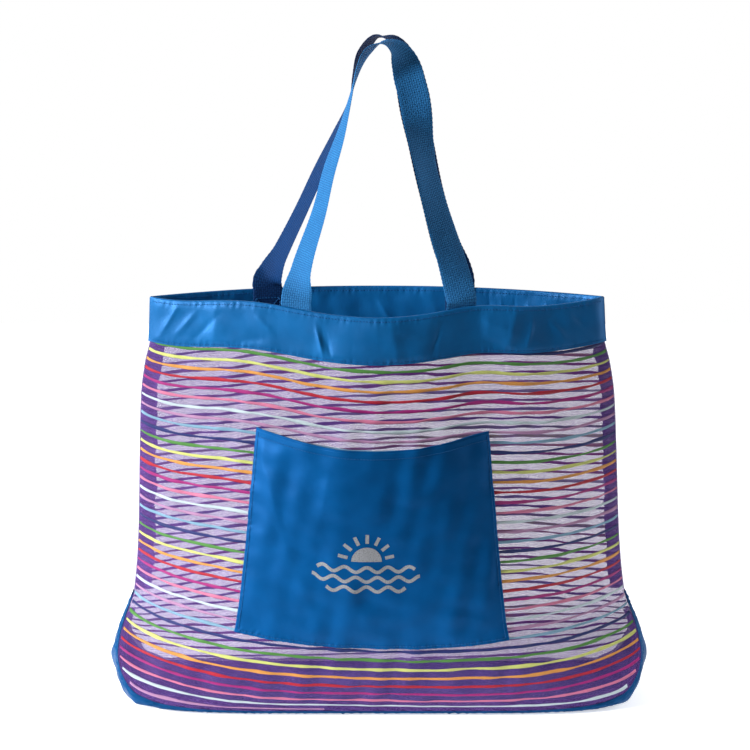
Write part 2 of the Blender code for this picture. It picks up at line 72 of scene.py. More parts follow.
# Standing shape of the bag over flat height, as in the CAD model: seam edge and middle of a panel
EDGE_X = [
    (0.0, 0.228), (0.004, 0.2480), (0.010, 0.2570), (0.020, 0.2635), (0.034, 0.2662), (0.050, 0.2648),
    (0.068, 0.2605), (0.084, 0.2555), (0.100, 0.2518), (0.160, 0.2455), (0.258, 0.2405), (0.310, 0.2375),
    (0.345, 0.2325), (0.372, 0.2262), (0.414, 0.2235)]
EDGE_Y = [
    (0.0, 0.0565), (0.004, 0.0550), (0.010, 0.0520), (0.020, 0.0452), (0.034, 0.0342), (0.050, 0.0232),
    (0.068, 0.0120), (0.084, 0.0042), (0.100, 0.0008), (0.160, 0.0006), (0.414, 0.0006)]
EDGE_Z = [
    (0.0, 0.011), (0.004, 0.020), (0.010, 0.0308), (0.020, 0.0440), (0.034, 0.0565), (0.050, 0.0685),
    (0.068, 0.0830), (0.100, 0.1105), (0.180, 0.188), (0.291, 0.3000), (0.368, 0.3735), (0.414, 0.4188)]
MIDDLE_Y = [
    (0.0, 0.0670), (0.010, 0.0705), (0.030, 0.0760), (0.065, 0.0808), (0.115, 0.0830),
    (0.200, 0.0770), (0.300, 0.0665), (0.368, 0.0620), (0.414, 0.0600)]
MIDDLE_Z = [
    (0.0, 0.0055), (0.010, 0.0112), (0.020, 0.0178), (0.040, 0.0348), (0.068, 0.0630), (0.180, 0.1750),
    (0.291, 0.2855), (0.368, 0.3640), (0.414, 0.4110)]
FRONT_PLAN_POWER = [(0.0, 7.0), (0.030, 4.2), (0.090, 2.9), (0.250, 1.95), (0.414, 1.35)]
FRONT_END_POWER = 1.2  # keeps the front cloth fuller next to the side seams, most of all at the rim
BACK_PLAN_POWER = [(0.0, 7.0), (0.030, 4.2), (0.090, 2.9), (0.250, 2.5), (0.414, 2.3)]
RISE_POWER = [(0.0, 6.0), (0.020, 3.6), (0.090, 2.8), (0.414, 3.0)]
LEAN = 0.0030
BACK_RIM_LIFT = 0.005

# Soft folds in the front cloth: centre across, spread, depth, lowest and highest flat height
FRONT_FOLDS = [(0.112, 0.032, -0.0055, 0.20, 0.500), (0.172, 0.024, 0.0035, 0.22, 0.500),
               (-0.030, 0.030, 0.0030, 0.08, 0.414), (-0.150, 0.035, 0.0025, 0.02, 0.440)]

# The front cloth hangs from the handles' feet: centre across, spread and rise at the rim; full at LIFT_FULL
FRONT_LIFTS = [(-0.125, 0.065, 0.0095), (0.098, 0.050, 0.0065)]
LIFT_FULL = 0.340

# Gusset's middle line at the bag's ends: share of the way down, half width, height
GUSSET_END = [(0.0, 0.2512, 0.1085), (0.10, 0.2592, 0.0905), (0.22, 0.2703, 0.0655), (0.34, 0.2742, 0.0460),
              (0.50, 0.2685, 0.0240), (0.64, 0.2595, 0.0070), (0.78, 0.2465, 0.0006), (1.0, 0.2200, 0.0)]
GUSSET_LEAN = 0.0025
GUSSET_END_MARGIN = 0.012
GUSSET_ROLL = 0.004

# Front pocket in flat coordinates of the front panel
POCKET_LEFT = ((-0.1490, 0.0914), (-0.1310, 0.2925))
POCKET_RIGHT = ((0.1330, 0.0853), (0.1195, 0.2915))
POCKET_BOTTOM_SAG = 0.0049
POCKET_TOP_SAG = 0.0045
POCKET_GAPE = 0.0185
HEM_START = 0.957

# Handles: across, height and roll of the webbing along each loop, left foot to right foot
FRONT_LOOP = [(-0.0790, 0.4209, 0), (-0.0780, 0.4290, 12), (-0.0735, 0.4530, 50), (-0.0555, 0.5120, 63),
              (-0.0470, 0.5480, 69), (-0.0352, 0.5850, 77), (-0.0255, 0.6200, 87), (-0.0175, 0.6480, 100),
              (-0.0080, 0.6640, 108), (0.0070, 0.6715, 90), (0.0190, 0.6660, 62), (0.0270, 0.6510, 28),
              (0.0315, 0.6350, 8), (0.0362, 0.6170, 8), (0.0420, 0.5770, 36), (0.0470, 0.5500, 48),
              (0.0565, 0.5145, 40), (0.0645, 0.4880, 31), (0.0730, 0.4610, 24), (0.0808, 0.4310, 8),
              (0.0825, 0.4210, 0)]
BACK_LOOP = [(-0.1110, 0.4202, 10), (-0.1070, 0.4320, 34), (-0.0960, 0.4550, 60), (-0.0762, 0.4970, 65),
             (-0.0585, 0.5370, 70), (-0.0410, 0.5750, 77), (-0.0270, 0.6090, 87), (-0.0205, 0.6380, 102),
             (-0.0130, 0.6590, 114), (0.0005, 0.6735, 104), (0.0140, 0.6700, 80), (0.0240, 0.6560, 50),
             (0.0300, 0.6350, 26), (0.0358, 0.6050, 16), (0.0435, 0.5650, 34), (0.0535, 0.5200, 36),
             (0.0705, 0.4600, 22), (0.0818, 0.4320, 8), (0.0840, 0.4202, 0)]
LOOP_TOP_Y = 0.0165

# Stripes knitted into the net
STRIPE_PITCH = 0.0097
STRIPE_SKEW = {True: 0.024, False: -0.041}  # the cloth is cut askew: rise of a stripe per metre towards -X
STRIPE_START = BAND_BOTTOM + 0.0028
STRIPE_COUNT = 41
STRIPE_COLOURS = [
    ("navy", (0.010, 0.020, 0.130)), ("green", (0.070, 0.230, 0.045)), ("lime", (0.56, 0.60, 0.17)),
    ("orange", (0.64, 0.28, 0.060)), ("red", (0.40, 0.010, 0.030)), ("magenta", (0.32, 0.014, 0.16)),
    ("pink", (0.56, 0.16, 0.28)), ("white", (0.48, 0.58, 0.62)), ("lavender", (0.40, 0.21, 0.37)),
    ("sky", (0.18, 0.34, 0.47))]
INSIDE_TINT = (0.065, 0.008, 0.070)  # the net's own yarn covers the stripes on the panels' inner side and, with painted shade of the bag's inside, leaves this much of their colour
INSIDE_SHADED_SHARE = 0.42  # and lets this much of their colour through

SIDE = {True: "front", False: "back"}

rng = np.random.default_rng(7)


# Shape of the cloth

def smooth_curve(points):
    """A monotone smooth curve through (position, value) points, as a function of position."""
    xs, ys = np.array(points, float).T
    steps = np.diff(ys) / np.diff(xs)
    before, after = steps[:-1], steps[1:]
    same = before * after > 0
    inner = np.where(same, 2 * before * after / np.where(same, before + after, 1.0), 0.0)
    slopes = np.concatenate([steps[:1], inner, steps[-1:]])

    def value(x):
        x = np.clip(x, xs[0], xs[-1])
        i = np.clip(np.searchsorted(xs, x, side="right") - 1, 0, len(xs) - 2)
        width = xs[i + 1] - xs[i]
        u = (x - xs[i]) / width
        return (ys[i] * (1 + 2 * u) * (1 - u) ** 2 + ys[i + 1] * u * u * (3 - 2 * u)
                + width * (slopes[i] * u * (1 - u) ** 2 - slopes[i + 1] * u * u * (1 - u)))

    return value


edge_x, edge_y, edge_z = (smooth_curve(p) for p in (EDGE_X, EDGE_Y, EDGE_Z))
middle_y, middle_z = smooth_curve(MIDDLE_Y), smooth_curve(MIDDLE_Z)
front_plan_power, back_plan_power = smooth_curve(FRONT_PLAN_POWER), smooth_curve(BACK_PLAN_POWER)
rise_power = smooth_curve(RISE_POWER)


def smoothstep(x):
    x = np.clip(x, 0.0, 1.0)
    return x * x * (3 - 2 * x)


def unit(v):
    return v / np.maximum(np.linalg.norm(v, axis=-1, keepdims=True), 1e-12)


def stack(*parts):
    """The parts, spread to one shape, side by side along a new last axis."""
    return np.stack(np.broadcast_arrays(*parts), axis=-1)


def half_width(h):
    drop = np.clip(CORNER_RADIUS - h, 0.0, CORNER_RADIUS)
    return PANEL_HALF_WIDTH - CORNER_RADIUS + np.sqrt(CORNER_RADIUS ** 2 - drop ** 2)


def fold_depth(a, h):
    """Outward push of the front cloth's soft folds."""
    push = 0.0
    for centre, width, depth, low, high in FRONT_FOLDS:
        u = np.clip((h - low) / (high - low), 0.0, 1.0)
        push = push + depth * np.exp(-((a - centre) / width) ** 2) * np.sin(np.pi * u)
    return push


def lift(x, h):
    """Rise of the front cloth where it hangs from the handles."""
    rise = sum(height * np.exp(-((x - centre) / width) ** 2) for centre, width, height in FRONT_LIFTS)
    return rise * smoothstep(h / LIFT_FULL)


def lean(h):
    return LEAN * (1 - h / PANEL_HEIGHT)


def panel_point(front, s, h):
    """Point of a panel's middle surface: s runs -1 to 1 between the side seams, h up from the bottom seam."""
    s, h = np.broadcast_arrays(np.asarray(s, float), np.asarray(h, float))
    over = np.maximum(h - PANEL_HEIGHT, 0.0)
    h = h - over
    rise = np.abs(s) ** rise_power(h)
    power = front_plan_power(h) + FRONT_END_POWER * s ** 6 * h / PANEL_HEIGHT if front else back_plan_power(h)
    plan = np.abs(s) ** power
    depth = edge_y(h) + (middle_y(h) - edge_y(h)) * (1 - plan)
    low = middle_z(h) + (0.0 if front else BACK_RIM_LIFT * (h / PANEL_HEIGHT) ** 3)
    z = low + (edge_z(h) - low) * rise + over
    if front:
        depth = depth + fold_depth(s * half_width(h), h) * (1 - s * s)
        z = z + lift(s * edge_x(h), h) * (1 - s ** 8)
    return stack(edge_x(h) * s + lean(h), -depth if front else depth, z)


def panel_normal(front, s, h):
    """Outward unit normal of a panel, turned to face along the bag at its side seams, where skins meet."""
    s, h = np.broadcast_arrays(np.asarray(s, float), np.asarray(h, float))
    ds, dh = 0.004, 0.002
    across = panel_point(front, np.minimum(s + ds, 1), h) - panel_point(front, np.maximum(s - ds, -1), h)
    above, below = np.minimum(h, PANEL_HEIGHT - dh) + dh, np.maximum(h - dh, 0)
    up = panel_point(front, s, above) - panel_point(front, s, below)
    normal = unit(np.cross(across, up))
    normal = np.where((normal[..., 1:2] < 0) == front, normal, -normal)
    turn = smoothstep((np.abs(s) - 0.955) / 0.045)[..., None]
    return unit(normal * (1 - turn) + stack(np.sign(s), 0, 0) * turn)


def waves(count, shortest, longest, amplitude, seed):
    """A smooth random unevenness over flat cloth, as a function of (a, h)."""
    source = np.random.default_rng(seed)
    length = np.exp(source.uniform(math.log(shortest), math.log(longest), count))
    turn, phase = source.uniform(0, 2 * np.pi, (2, count))
    size = amplitude * source.uniform(0.5, 1.0, count) * (length / longest) ** 0.7

    def height(a, h):
        along = [a * math.cos(angle) + h * math.sin(angle) for angle in turn]
        return sum(size[i] * np.sin(2 * np.pi * along[i] / length[i] + phase[i]) for i in range(count))

    return height


net_waves = {True: waves(14, 0.018, 0.085, 0.00050, 3), False: waves(14, 0.018, 0.085, 0.00060, 4)}


def ripple(front, a, h):
    """Small unevenness of the hanging net, none where it is sewn."""
    free = smoothstep(h / 0.030) * smoothstep((BAND_BOTTOM - h) / 0.020)
    free = free * smoothstep((half_width(h) - np.abs(a)) / 0.020)
    return free * net_waves[front](a, h)


def skin(front, a, h, out=0.0):
    """Point on a panel's real surface at flat position (a, h), moved outward."""
    a, h = np.broadcast_arrays(np.asarray(a, float), np.asarray(h, float))
    s = np.clip(a / half_width(h), -1.0, 1.0)
    move = (out + ripple(front, a, h))[..., None]
    return panel_point(front, s, h) + move * panel_normal(front, s, h)


def creases(lines):
    """Sharp-ish folds of cloth along straight flat lines: from, to, width, height."""
    def height(a, h):
        total = 0.0
        for (a0, h0), (a1, h1), width, depth in lines:
            along = (a - a0) * (a1 - a0) + (h - h0) * (h1 - h0)
            along = np.clip(along / ((a1 - a0) ** 2 + (h1 - h0) ** 2), 0, 1)
            gap = np.hypot(a - a0 - along * (a1 - a0), h - h0 - along * (h1 - h0))
            fade = np.sin(np.pi * np.clip(along, 0.04, 0.96)) ** 0.7
            total = total + depth * fade * np.exp(0.28 - 1.25 * np.sqrt((gap / width) ** 2 + 0.05))
        return total
    return height


# Meshes

def make(name, materials, vertices, faces, uv, indices=None):
    mesh = bpy.data.meshes.new(name)
    vertices = np.asarray(vertices, np.float32).reshape(-1, 3)
    mesh.from_pydata(vertices.tolist(), [], faces.tolist() if isinstance(faces, np.ndarray) else faces)
    for material in materials if isinstance(materials, list) else [materials]:
        mesh.materials.append(material)
    if indices is not None:
        mesh.polygons.foreach_set("material_index", np.asarray(indices, np.int32))
    layer = mesh.uv_layers.new(name="UVMap")
    corner = np.zeros(len(mesh.loops), np.int32)
    mesh.loops.foreach_get("vertex_index", corner)
    layer.data.foreach_set("uv", np.asarray(uv, np.float32).reshape(-1, 2)[corner].ravel())
    mesh.shade_smooth()
    mesh.update()
    obj = bpy.data.objects.new(name, mesh)
    bpy.context.scene.collection.objects.link(obj)
    return obj


def grid_faces(columns, rows, start=0, wrap=False):
    """Quads over a grid whose vertex (column, row) is number start + column * rows + row."""
    c, r = np.meshgrid(np.arange(columns - 1), np.arange(rows if wrap else rows - 1), indexing="ij")
    up = (r + 1) % rows
    quads = np.stack([c * rows + r, (c + 1) * rows + r, (c + 1) * rows + up, c * rows + up], axis=-1)
    return quads.reshape(-1, 4) + start


def facing_out(points, quads):
    """The quads, turned over if the closed body they make is inside out."""
    a, b, c, d = (points[quads[:, i]] for i in range(4))
    volume = np.sum(a * (np.cross(b, c) + np.cross(c, d)))
    return quads if volume > 0 else quads[:, ::-1]


def tube(rings, uvs):
    """Closed body through rings of points (stations, ring, 3), with each end closed flat."""
    stations, ring = rings.shape[:2]
    points = rings.reshape(-1, 3)
    quads = grid_faces(stations, ring, wrap=True)
    turned = facing_out(points, quads)
    ends = [list(range(ring)), list(range((stations - 1) * ring, stations * ring))[::-1]]
    if turned is quads:
        ends = [end[::-1] for end in ends]
    return points, turned.tolist() + ends, uvs.reshape(-1, 2)


def slab(outer, inner, uv):
    """Closed thin sheet between two grids of points (columns, rows, 3)."""
    columns, rows = outer.shape[:2]
    count = columns * rows
    points = np.concatenate([outer.reshape(-1, 3), inner.reshape(-1, 3)])
    top = grid_faces(columns, rows)
    bottom = grid_faces(columns, rows, start=count)[:, ::-1]
    number = np.arange(count).reshape(columns, rows)
    border = np.concatenate([number[:, 0], number[-1, 1:], number[-2::-1, -1], number[0, -2:0:-1]])
    ahead = np.roll(border, -1)
    rim = np.stack([border, border + count, ahead + count, ahead], axis=-1)
    quads = facing_out(points, np.concatenate([top, bottom, rim]))
    return points, quads, np.concatenate([uv.reshape(-1, 2), uv.reshape(-1, 2)])


# Stitching

STITCH_RINGS = [(-0.47, 0.55), (-0.28, 1.0), (0.0, 1.08), (0.28, 1.0), (0.47, 0.55)]  # place along, radius
STITCH_SIDES = 8
STITCH_PITCH = 0.0031
FINE_PITCH = 0.0030  # of overlocking and of the handles' ends
THREAD_LIFT = 0.0004  # height of a fine thread over its cloth


def run_length(points):
    return np.concatenate([[0.0], np.cumsum(np.linalg.norm(np.diff(points, axis=0), axis=1))])


def sample(run, values, places):
    """Rows of values read at places along their run."""
    return stack(*(np.interp(places, run, column) for column in values.T))


def along_line(points, normals, pitch=STITCH_PITCH):
    """Evenly spaced centres, directions and normals along a line of points."""
    run = run_length(points)
    count = max(int(run[-1] / pitch), 1)
    places = (np.arange(count) + 0.5) * run[-1] / count
    ahead, behind = (sample(run, points, places + pitch * step) for step in (0.3, -0.3))
    return (ahead + behind) / 2, unit(ahead - behind), unit(sample(run, normals, places))


def stitch_faces():
    """Faces of one stitch, which has a point at either end and the rings between them."""
    tip = 1 + len(STITCH_RINGS) * STITCH_SIDES
    faces = []
    for i in range(STITCH_SIDES):
        j = (i + 1) % STITCH_SIDES
        faces += [(0, 1 + j, 1 + i), (tip, tip - STITCH_SIDES + i, tip - STITCH_SIDES + j)]
        faces += [(base + i, base + j, base + STITCH_SIDES + j, base + STITCH_SIDES + i)
                  for base in range(1, tip - STITCH_SIDES, STITCH_SIDES)]
    return faces


def stitches(name, lines, material, length=0.0024, width=0.00075, height=0.00045):
    """Separate stitches of thread: each line gives centres, directions and normals of its stitches."""
    angle = np.arange(STITCH_SIDES) * 2 * np.pi / STITCH_SIDES
    place, radius = np.array(STITCH_RINGS).T
    points, uvs = [], []
    for centres, directions, normals in lines:
        side = unit(np.cross(directions, normals))
        up = np.cross(side, directions)
        slant, stretch = rng.uniform((-0.06, 0.94), (0.06, 1.05), (len(centres), 2)).T[..., None]
        size = length * stretch
        axis = unit(directions + side * slant) * size
        around = np.cos(angle)[:, None] * side[:, None] * width / 2
        around = around + np.sin(angle)[:, None] * up[:, None] * height
        rings = (axis[:, None] * place[:, None])[:, :, None] + radius[:, None, None] * around[:, None]
        ends = [(centres + share * axis)[:, None] for share in (-0.5, 0.5)]
        rings = centres[:, None] + rings.reshape(len(centres), -1, 3)
        points.append(np.concatenate([ends[0], rings, ends[1]], axis=1))
        along = np.concatenate([0 * size, np.repeat(size * place, STITCH_SIDES, axis=1), size], axis=1)
        turn = np.concatenate([[0.0], np.tile(angle / 7, len(place)), [0.0]])
        uvs.append(stack(along, turn))
    points = np.concatenate(points)
    one = stitch_faces()
    starts = range(0, points.shape[0] * points.shape[1], points.shape[1])
    faces = [[start + i for i in face] for start in starts for face in one]
    return make(name, material, points, faces, np.concatenate(uvs))


# Materials

class Term:
    """A number, place or colour made by a material's nodes. Arithmetic with it adds a Math node."""

    def __init__(self, socket):
        self.socket = socket
        self.tree = socket.id_data

    def __add__(self, other):
        return maths("ADD", self, other)

    def __sub__(self, other):
        return maths("SUBTRACT", self, other)

    def __mul__(self, other):
        return maths("MULTIPLY", self, other)

    def __truediv__(self, other):
        return maths("DIVIDE", self, other)


def feed(socket, value):
    """Link a node's input to a term, or set it to a plain value."""
    if isinstance(value, Term):
        socket.id_data.links.new(value.socket, socket)
    elif value is not None:
        socket.default_value = value


def add(tree, kind, *inputs, **settings):
    """A new node with its settings set and its inputs fed in their order."""
    made = tree.nodes.new(kind)
    for key, value in settings.items():
        setattr(made, key, value)
    for socket, value in zip(made.inputs, inputs):
        feed(socket, value)
    return made


def maths(operation, *terms):
    return Term(add(terms[0].tree, "ShaderNodeMath", *terms, operation=operation).outputs[0])


def sine(term, length):
    """Sine wave of the given length along a term."""
    return maths("SINE", term * (2 * math.pi / length))


def mixed(share, first, second):
    """The first colour where the share is 0, the second where it is 1."""
    made = add(share.tree, "ShaderNodeMix", share, data_type="RGBA")
    for socket, colour in zip(made.inputs[6:8], (first, second)):
        feed(socket, colour if isinstance(colour, Term) else (*colour, 1.0))
    return Term(made.outputs[2])


def spread(term, low, high, to_low=0.0, to_high=1.0):
    """Smooth step from to_low, where the term is low, to to_high, where it is high."""
    return Term(add(term.tree, "ShaderNodeMapRange", term, low, high, to_low, to_high,
                    interpolation_type="SMOOTHSTEP").outputs[0])


def noise(where, scale, detail=2.0, stretch=(1, 1, 1)):
    moved = Term(add(where.tree, "ShaderNodeMapping", where, None, None, stretch).outputs[0])
    return Term(add(where.tree, "ShaderNodeTexNoise", moved, None, scale, detail).outputs[0])


def darker(colour, share):
    return tuple(share * part for part in colour)


def surface(name):
    """A new material, and the flat coordinates of its cloth in metres: place, across and up."""
    made = bpy.data.materials.new(name)
    made.use_nodes = True
    uv = Term(add(made.node_tree, "ShaderNodeTexCoord").outputs["UV"])
    parts = add(made.node_tree, "ShaderNodeSeparateXYZ", uv).outputs
    return made, uv, Term(parts[0]), Term(parts[1])


def finish_surface(made, colour, roughness, bump=None, **values):
    """Feed a material's shader; bump gives the height, its strength and its distance."""
    tree = made.node_tree
    if bump:
        bumps = add(tree, "ShaderNodeBump")
        for key, value in zip(("Height", "Strength", "Distance"), bump):
            feed(bumps.inputs[key], value)
        values["normal"] = Term(bumps.outputs[0])
    for key, value in dict(values, base_color=colour, roughness=roughness).items():
        key = key.replace("_", " ").title().replace("Ior", "IOR")
        feed(tree.nodes["Principled BSDF"].inputs[key], value)
    return made


NET_ROW = 0.88  # height of a row of the net's holes, over their pitch
HOLE_EDGE = 0.13  # softness of a hole's edge, over the pitch
HOLE_ALPHA = 0.32  # haze of stray yarn in a hole
SEAM_BAR = (0.030, 0.010, 0.070)  # stripes turned in with the net at its seams
NYLON_THREAD = 0.00055
NYLON_ROUGHNESS = 0.42
WEAVE_CELL = 0.0022


def net_material(name, light, dark, cell, hole, cover, painted_glow, bars=None):
    """Warp-knit net: round holes in staggered rows, thinned by the alpha, between yarns that let light by and
    glow with painted light.
    """
    made, uv, u, v = surface(name)
    u = u + (noise(uv, 380.0, 1.0) - 0.5) * (1.1 * cell)
    v = v + (noise(uv, 310.0, 1.0, (1.3, 0.8, 1.0)) - 0.5) * (1.6 * cell)
    row = v / (cell * NET_ROW)
    x = maths("FRACT", u / cell + maths("FLOOR", row) * 0.5) - 0.5
    y = maths("FRACT", row) - 0.5
    gap = maths("SQRT", x * x + y * y) + (noise(uv, 900.0) - 0.5) * 0.16
    alpha = spread(gap, hole - HOLE_EDGE, hole + HOLE_EDGE, HOLE_ALPHA, cover)
    patch = spread(noise(uv, 34.0, 3.0), 0.35, 0.68)
    # colour: random patches of tone, and painted shade darkening the yarn from its middle towards the holes
    colour = mixed((patch + spread(gap, hole, 0.62)) * 0.5, dark, light)
    if bars:
        away = maths("ABSOLUTE", maths("FRACT", v / bars + u * 40.0) - 0.5)
        colour = mixed(spread(away, 0.10, 0.26), SEAM_BAR, colour)
    # the emission is painted light: a glow in the net's own colour standing in for light shining through its
    # yarn
    return finish_surface(made, colour, 0.62, (gap, 0.3, 0.0002), alpha=alpha, emission_color=colour,
                          emission_strength=painted_glow, specular_ior_level=0.1)


def stripe_material(name, colour):
    """Bundle of coloured knitting yarn lying in the net."""
    made, uv, u, v = surface(name)
    loops = spread(sine(u + v * 0.9, 0.0011), -1.0, 1.0)
    # darker between the knit's loops, where the bump is low: painted shade, mixed with random tone
    shade = loops * 0.55 + noise(uv, 420.0) * 0.55
    return finish_surface(made, mixed(shade, darker(colour, 0.62), colour), 0.55, (loops, 0.6, 0.0003),
                          specular_ior_level=0.3)


def nylon_material(name, dark, light, metallic, gloss):
    """Coated nylon taffeta: fine weave, soft satin gloss, slight unevenness of colour."""
    made, uv, u, v = surface(name)
    weave = sine(u, NYLON_THREAD) * sine(v, NYLON_THREAD)
    cloud = spread(noise(uv, 22.0, 3.0), 0.30, 0.72)
    slub = noise(uv, 160.0, 2.0, (1.0, 9.0, 1.0))
    crinkle = noise(uv, 60.0)
    rough = spread(crinkle, 0.3, 0.7, NYLON_ROUGHNESS - 0.04, NYLON_ROUGHNESS + 0.06)
    bump = (weave * 0.10 + crinkle * 0.6, 0.30, 0.0006)
    return finish_surface(made, mixed(cloud * 0.65 + slub * 0.4, dark, light), rough, bump, metallic=metallic,
                          specular_ior_level=gloss)


def webbing_material(name, dark, light):
    """Matt polypropylene webbing: basket weave whose grooves are darker than its cells, by painted shade."""
    made, uv, u, v = surface(name)
    cells = maths("ABSOLUTE", sine(u, 2 * WEAVE_CELL)) * maths("ABSOLUTE", sine(v, 2 * WEAVE_CELL))
    crown = spread(cells, 0.02, 0.60)
    fibre = noise(uv, 500.0, 3.0, (6.0, 1.0, 1.0))
    # crown sets both the bump and the colour: painted shade darkens the grooves, fibre noise gives random tone
    shade = crown * (fibre * 0.6 + noise(uv, 60.0) * 0.8)
    return finish_surface(made, mixed(shade, dark, light), 0.70, (crown + fibre * 0.5, 0.60, 0.0004),
                          specular_ior_level=0.10)


def thread_material(name, dark, light):
    """Twisted sewing thread."""
    made, _, u, v = surface(name)
    # the colour follows the twist's bump: painted shade in the grooves between its plies
    twist = spread(sine(u + v * 0.0012, 0.0007), -1.0, 1.0)
    return finish_surface(made, mixed(twist, dark, light), 0.6, (twist, 0.5, 0.0002), specular_ior_level=0.15)


def print_material(name, colour):
    """Screen-print ink, slightly broken up by the weave below."""
    made, uv, _, _ = surface(name)
    worn = spread(noise(uv, 700.0, 3.0), 0.25, 0.6)
    return finish_surface(made, mixed(worn, darker(colour, 0.6), colour), 0.5, (worn, 0.3, 0.0001),
                          specular_ior_level=0.35)


def yarns(kind, tint=(0.0, 0.0, 0.0), share=1.0):
    """Stripe materials: a share of every colour, on top of a tint."""
    shades = [tuple(base + share * part for base, part in zip(tint, colour)) for _, colour in STRIPE_COLOURS]
    return [stripe_material(f"stripe_{kind}{name}", shade) for (name, _), shade in zip(STRIPE_COLOURS, shades)]


net = net_material("net_cloth", (0.135, 0.068, 0.275), (0.078, 0.034, 0.180), 0.00170, 0.38, 0.69, 0.14)
seam_net = net_material("seam_net", (0.105, 0.055, 0.210), (0.050, 0.020, 0.120), 0.00150, 0.22, 0.95, 0.04,
                        STRIPE_PITCH / 2)
# the inside copies: the net's purple tint, with the colour cut down partly by the net's cover and partly by
# painted shade
stripe_yarns = yarns("") + yarns("inside_", INSIDE_TINT, INSIDE_SHADED_SHARE)
band_nylon = nylon_material("band_nylon", (0.0018, 0.078, 0.230), (0.0030, 0.115, 0.330), 0.20, 0.16)
pocket_nylon = nylon_material("pocket_nylon", (0.0010, 0.054, 0.178), (0.0016, 0.074, 0.240), 0.15, 0.04)
gusset_nylon = nylon_material("gusset_nylon", (0.0015, 0.040, 0.130), (0.003, 0.062, 0.190), 0.15, 0.08)
strap = webbing_material("strap_webbing", (0.010, 0.080, 0.222), (0.021, 0.162, 0.385))
# the back handle's webbing is a darker copy of the strap: painted shade for the handle lying away from the key
# light
painted_shade_strap = webbing_material("strap_webbing_shaded_back", (0.0008, 0.016, 0.066), (0.0022, 0.036, 0.135))
blue_thread = thread_material("blue_thread", (0.003, 0.050, 0.170), (0.008, 0.110, 0.32))
purple_thread = thread_material("purple_thread", (0.05, 0.02, 0.12), (0.16, 0.08, 0.28))
ink = print_material("grey_ink", (0.24, 0.25, 0.27))


# Net panels and their stripes

STRIPE_SIDES = 8
STRIPE_STATIONS = 150
STRIPE_HALF_WIDTH = 0.00142
STRIPE_HALF_THICKNESS = 0.00042


def declare(piece, slot, *replaces):
    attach(piece, "bag")
    if replaces:
        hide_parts(*replaces)


def net_panel(front):
    side = SIDE[front]
    s = np.linspace(-1, 1, 261)[:, None]
    h = np.concatenate([np.linspace(0, 0.04, 24)[:-1], np.linspace(0.04, PANEL_HEIGHT - 0.002, 150)])
    a = s * half_width(h)
    uv = stack(a + 1.0, h + STRIPE_SKEW[front] * a + 1.0)
    piece = make(f"{side}_net", net, skin(front, a, h), grid_faces(*a.shape), uv)
    declare(piece, "striped_mesh", f"{side}_mesh_panel")


def stripes(front):
    """Every stripe of a panel: a flat lens of yarn centred on the net, in one of ten colours."""
    angle = np.arange(STRIPE_SIDES) * 2 * np.pi / STRIPE_SIDES
    shades = len(STRIPE_COLOURS)
    # faces on a stripe's inner side take the inside copies, darkened partly by painted shade
    inner_side = np.tile(np.repeat([0, shades], STRIPE_SIDES // 2), STRIPE_STATIONS - 1)
    fine = np.linspace(-PANEL_HALF_WIDTH, PANEL_HALF_WIDTH, 900)
    wander = waves(9, 0.020, 0.16, 0.00030, 11 if front else 12)
    swell = waves(9, 0.006, 0.05, 0.16, 13)
    points, faces, uvs, colours = [], [], [], []
    start = 0
    for k in range(STRIPE_COUNT):
        row = STRIPE_START - STRIPE_PITCH * k
        place = row - STRIPE_SKEW[front] * fine
        fits = (place > 0.0035) & (place < BAND_BOTTOM + 0.001) & (np.abs(fine) < half_width(place) - 0.0012)
        if fits.sum() < 20:
            continue
        a = np.linspace(fine[fits][0], fine[fits][-1], STRIPE_STATIONS)
        h = row - STRIPE_SKEW[front] * a
        h = h + 0.0035 * np.exp((np.abs(a) - half_width(h)) / 0.007) + wander(a, h * 0.35 + k * 0.013)
        half = STRIPE_HALF_WIDTH * (1 + swell(a, h * 3))
        a, h = np.broadcast_arrays(a[:, None], h[:, None] + half[:, None] * np.cos(angle))
        points.append(skin(front, a, h, STRIPE_HALF_THICKNESS * np.sin(angle)).reshape(-1, 3))
        uvs.append(stack(a, h).reshape(-1, 2))
        faces += grid_faces(STRIPE_STATIONS, STRIPE_SIDES, start=start, wrap=True).tolist()
        faces += [list(range(end, end + STRIPE_SIDES)) for end in (start, start + a.size - STRIPE_SIDES)]
        colours += (k % shades + inner_side).tolist() + [k % shades] * 2
        start += a.size
    points, uvs = np.concatenate(points), np.concatenate(uvs)
    declare(make(f"{SIDE[front]}_stripes", stripe_yarns, points, faces, uvs, colours), "striped_mesh")


# Rim band

# Folds seen in each band: from, to (flat a, h), width, height outward
FRONT_BAND_CREASES = [
    ((-0.232, 0.378), (-0.206, 0.404), 0.0040, 0.0016), ((-0.214, 0.372), (-0.176, 0.404), 0.0055, -0.0012),
    ((-0.186, 0.366), (-0.184, 0.416), 0.0150, 0.0026), ((-0.165, 0.372), (-0.128, 0.380), 0.0050, -0.0014),
    ((-0.140, 0.402), (-0.118, 0.388), 0.0030, 0.0012), ((-0.070, 0.402), (-0.060, 0.374), 0.0024, 0.0022),
    ((-0.062, 0.398), (-0.050, 0.372), 0.0030, -0.0016), ((-0.030, 0.384), (0.018, 0.378), 0.0045, 0.0010),
    ((0.020, 0.402), (0.052, 0.392), 0.0040, 0.0012), ((0.060, 0.374), (0.072, 0.400), 0.0035, -0.0013),
    ((0.112, 0.400), (0.150, 0.392), 0.0048, 0.0020), ((0.118, 0.380), (0.146, 0.374), 0.0040, -0.0014),
    ((0.168, 0.372), (0.178, 0.402), 0.0035, 0.0013), ((0.196, 0.400), (0.216, 0.378), 0.0035, 0.0014),
    ((0.222, 0.404), (0.240, 0.388), 0.0030, -0.0010), ((0.146, 0.366), (0.161, 0.416), 0.0150, 0.0038),
    ((0.026, 0.366), (0.012, 0.416), 0.0190, 0.0036), ((-0.252, 0.372), (-0.226, 0.412), 0.0035, 0.0018)]
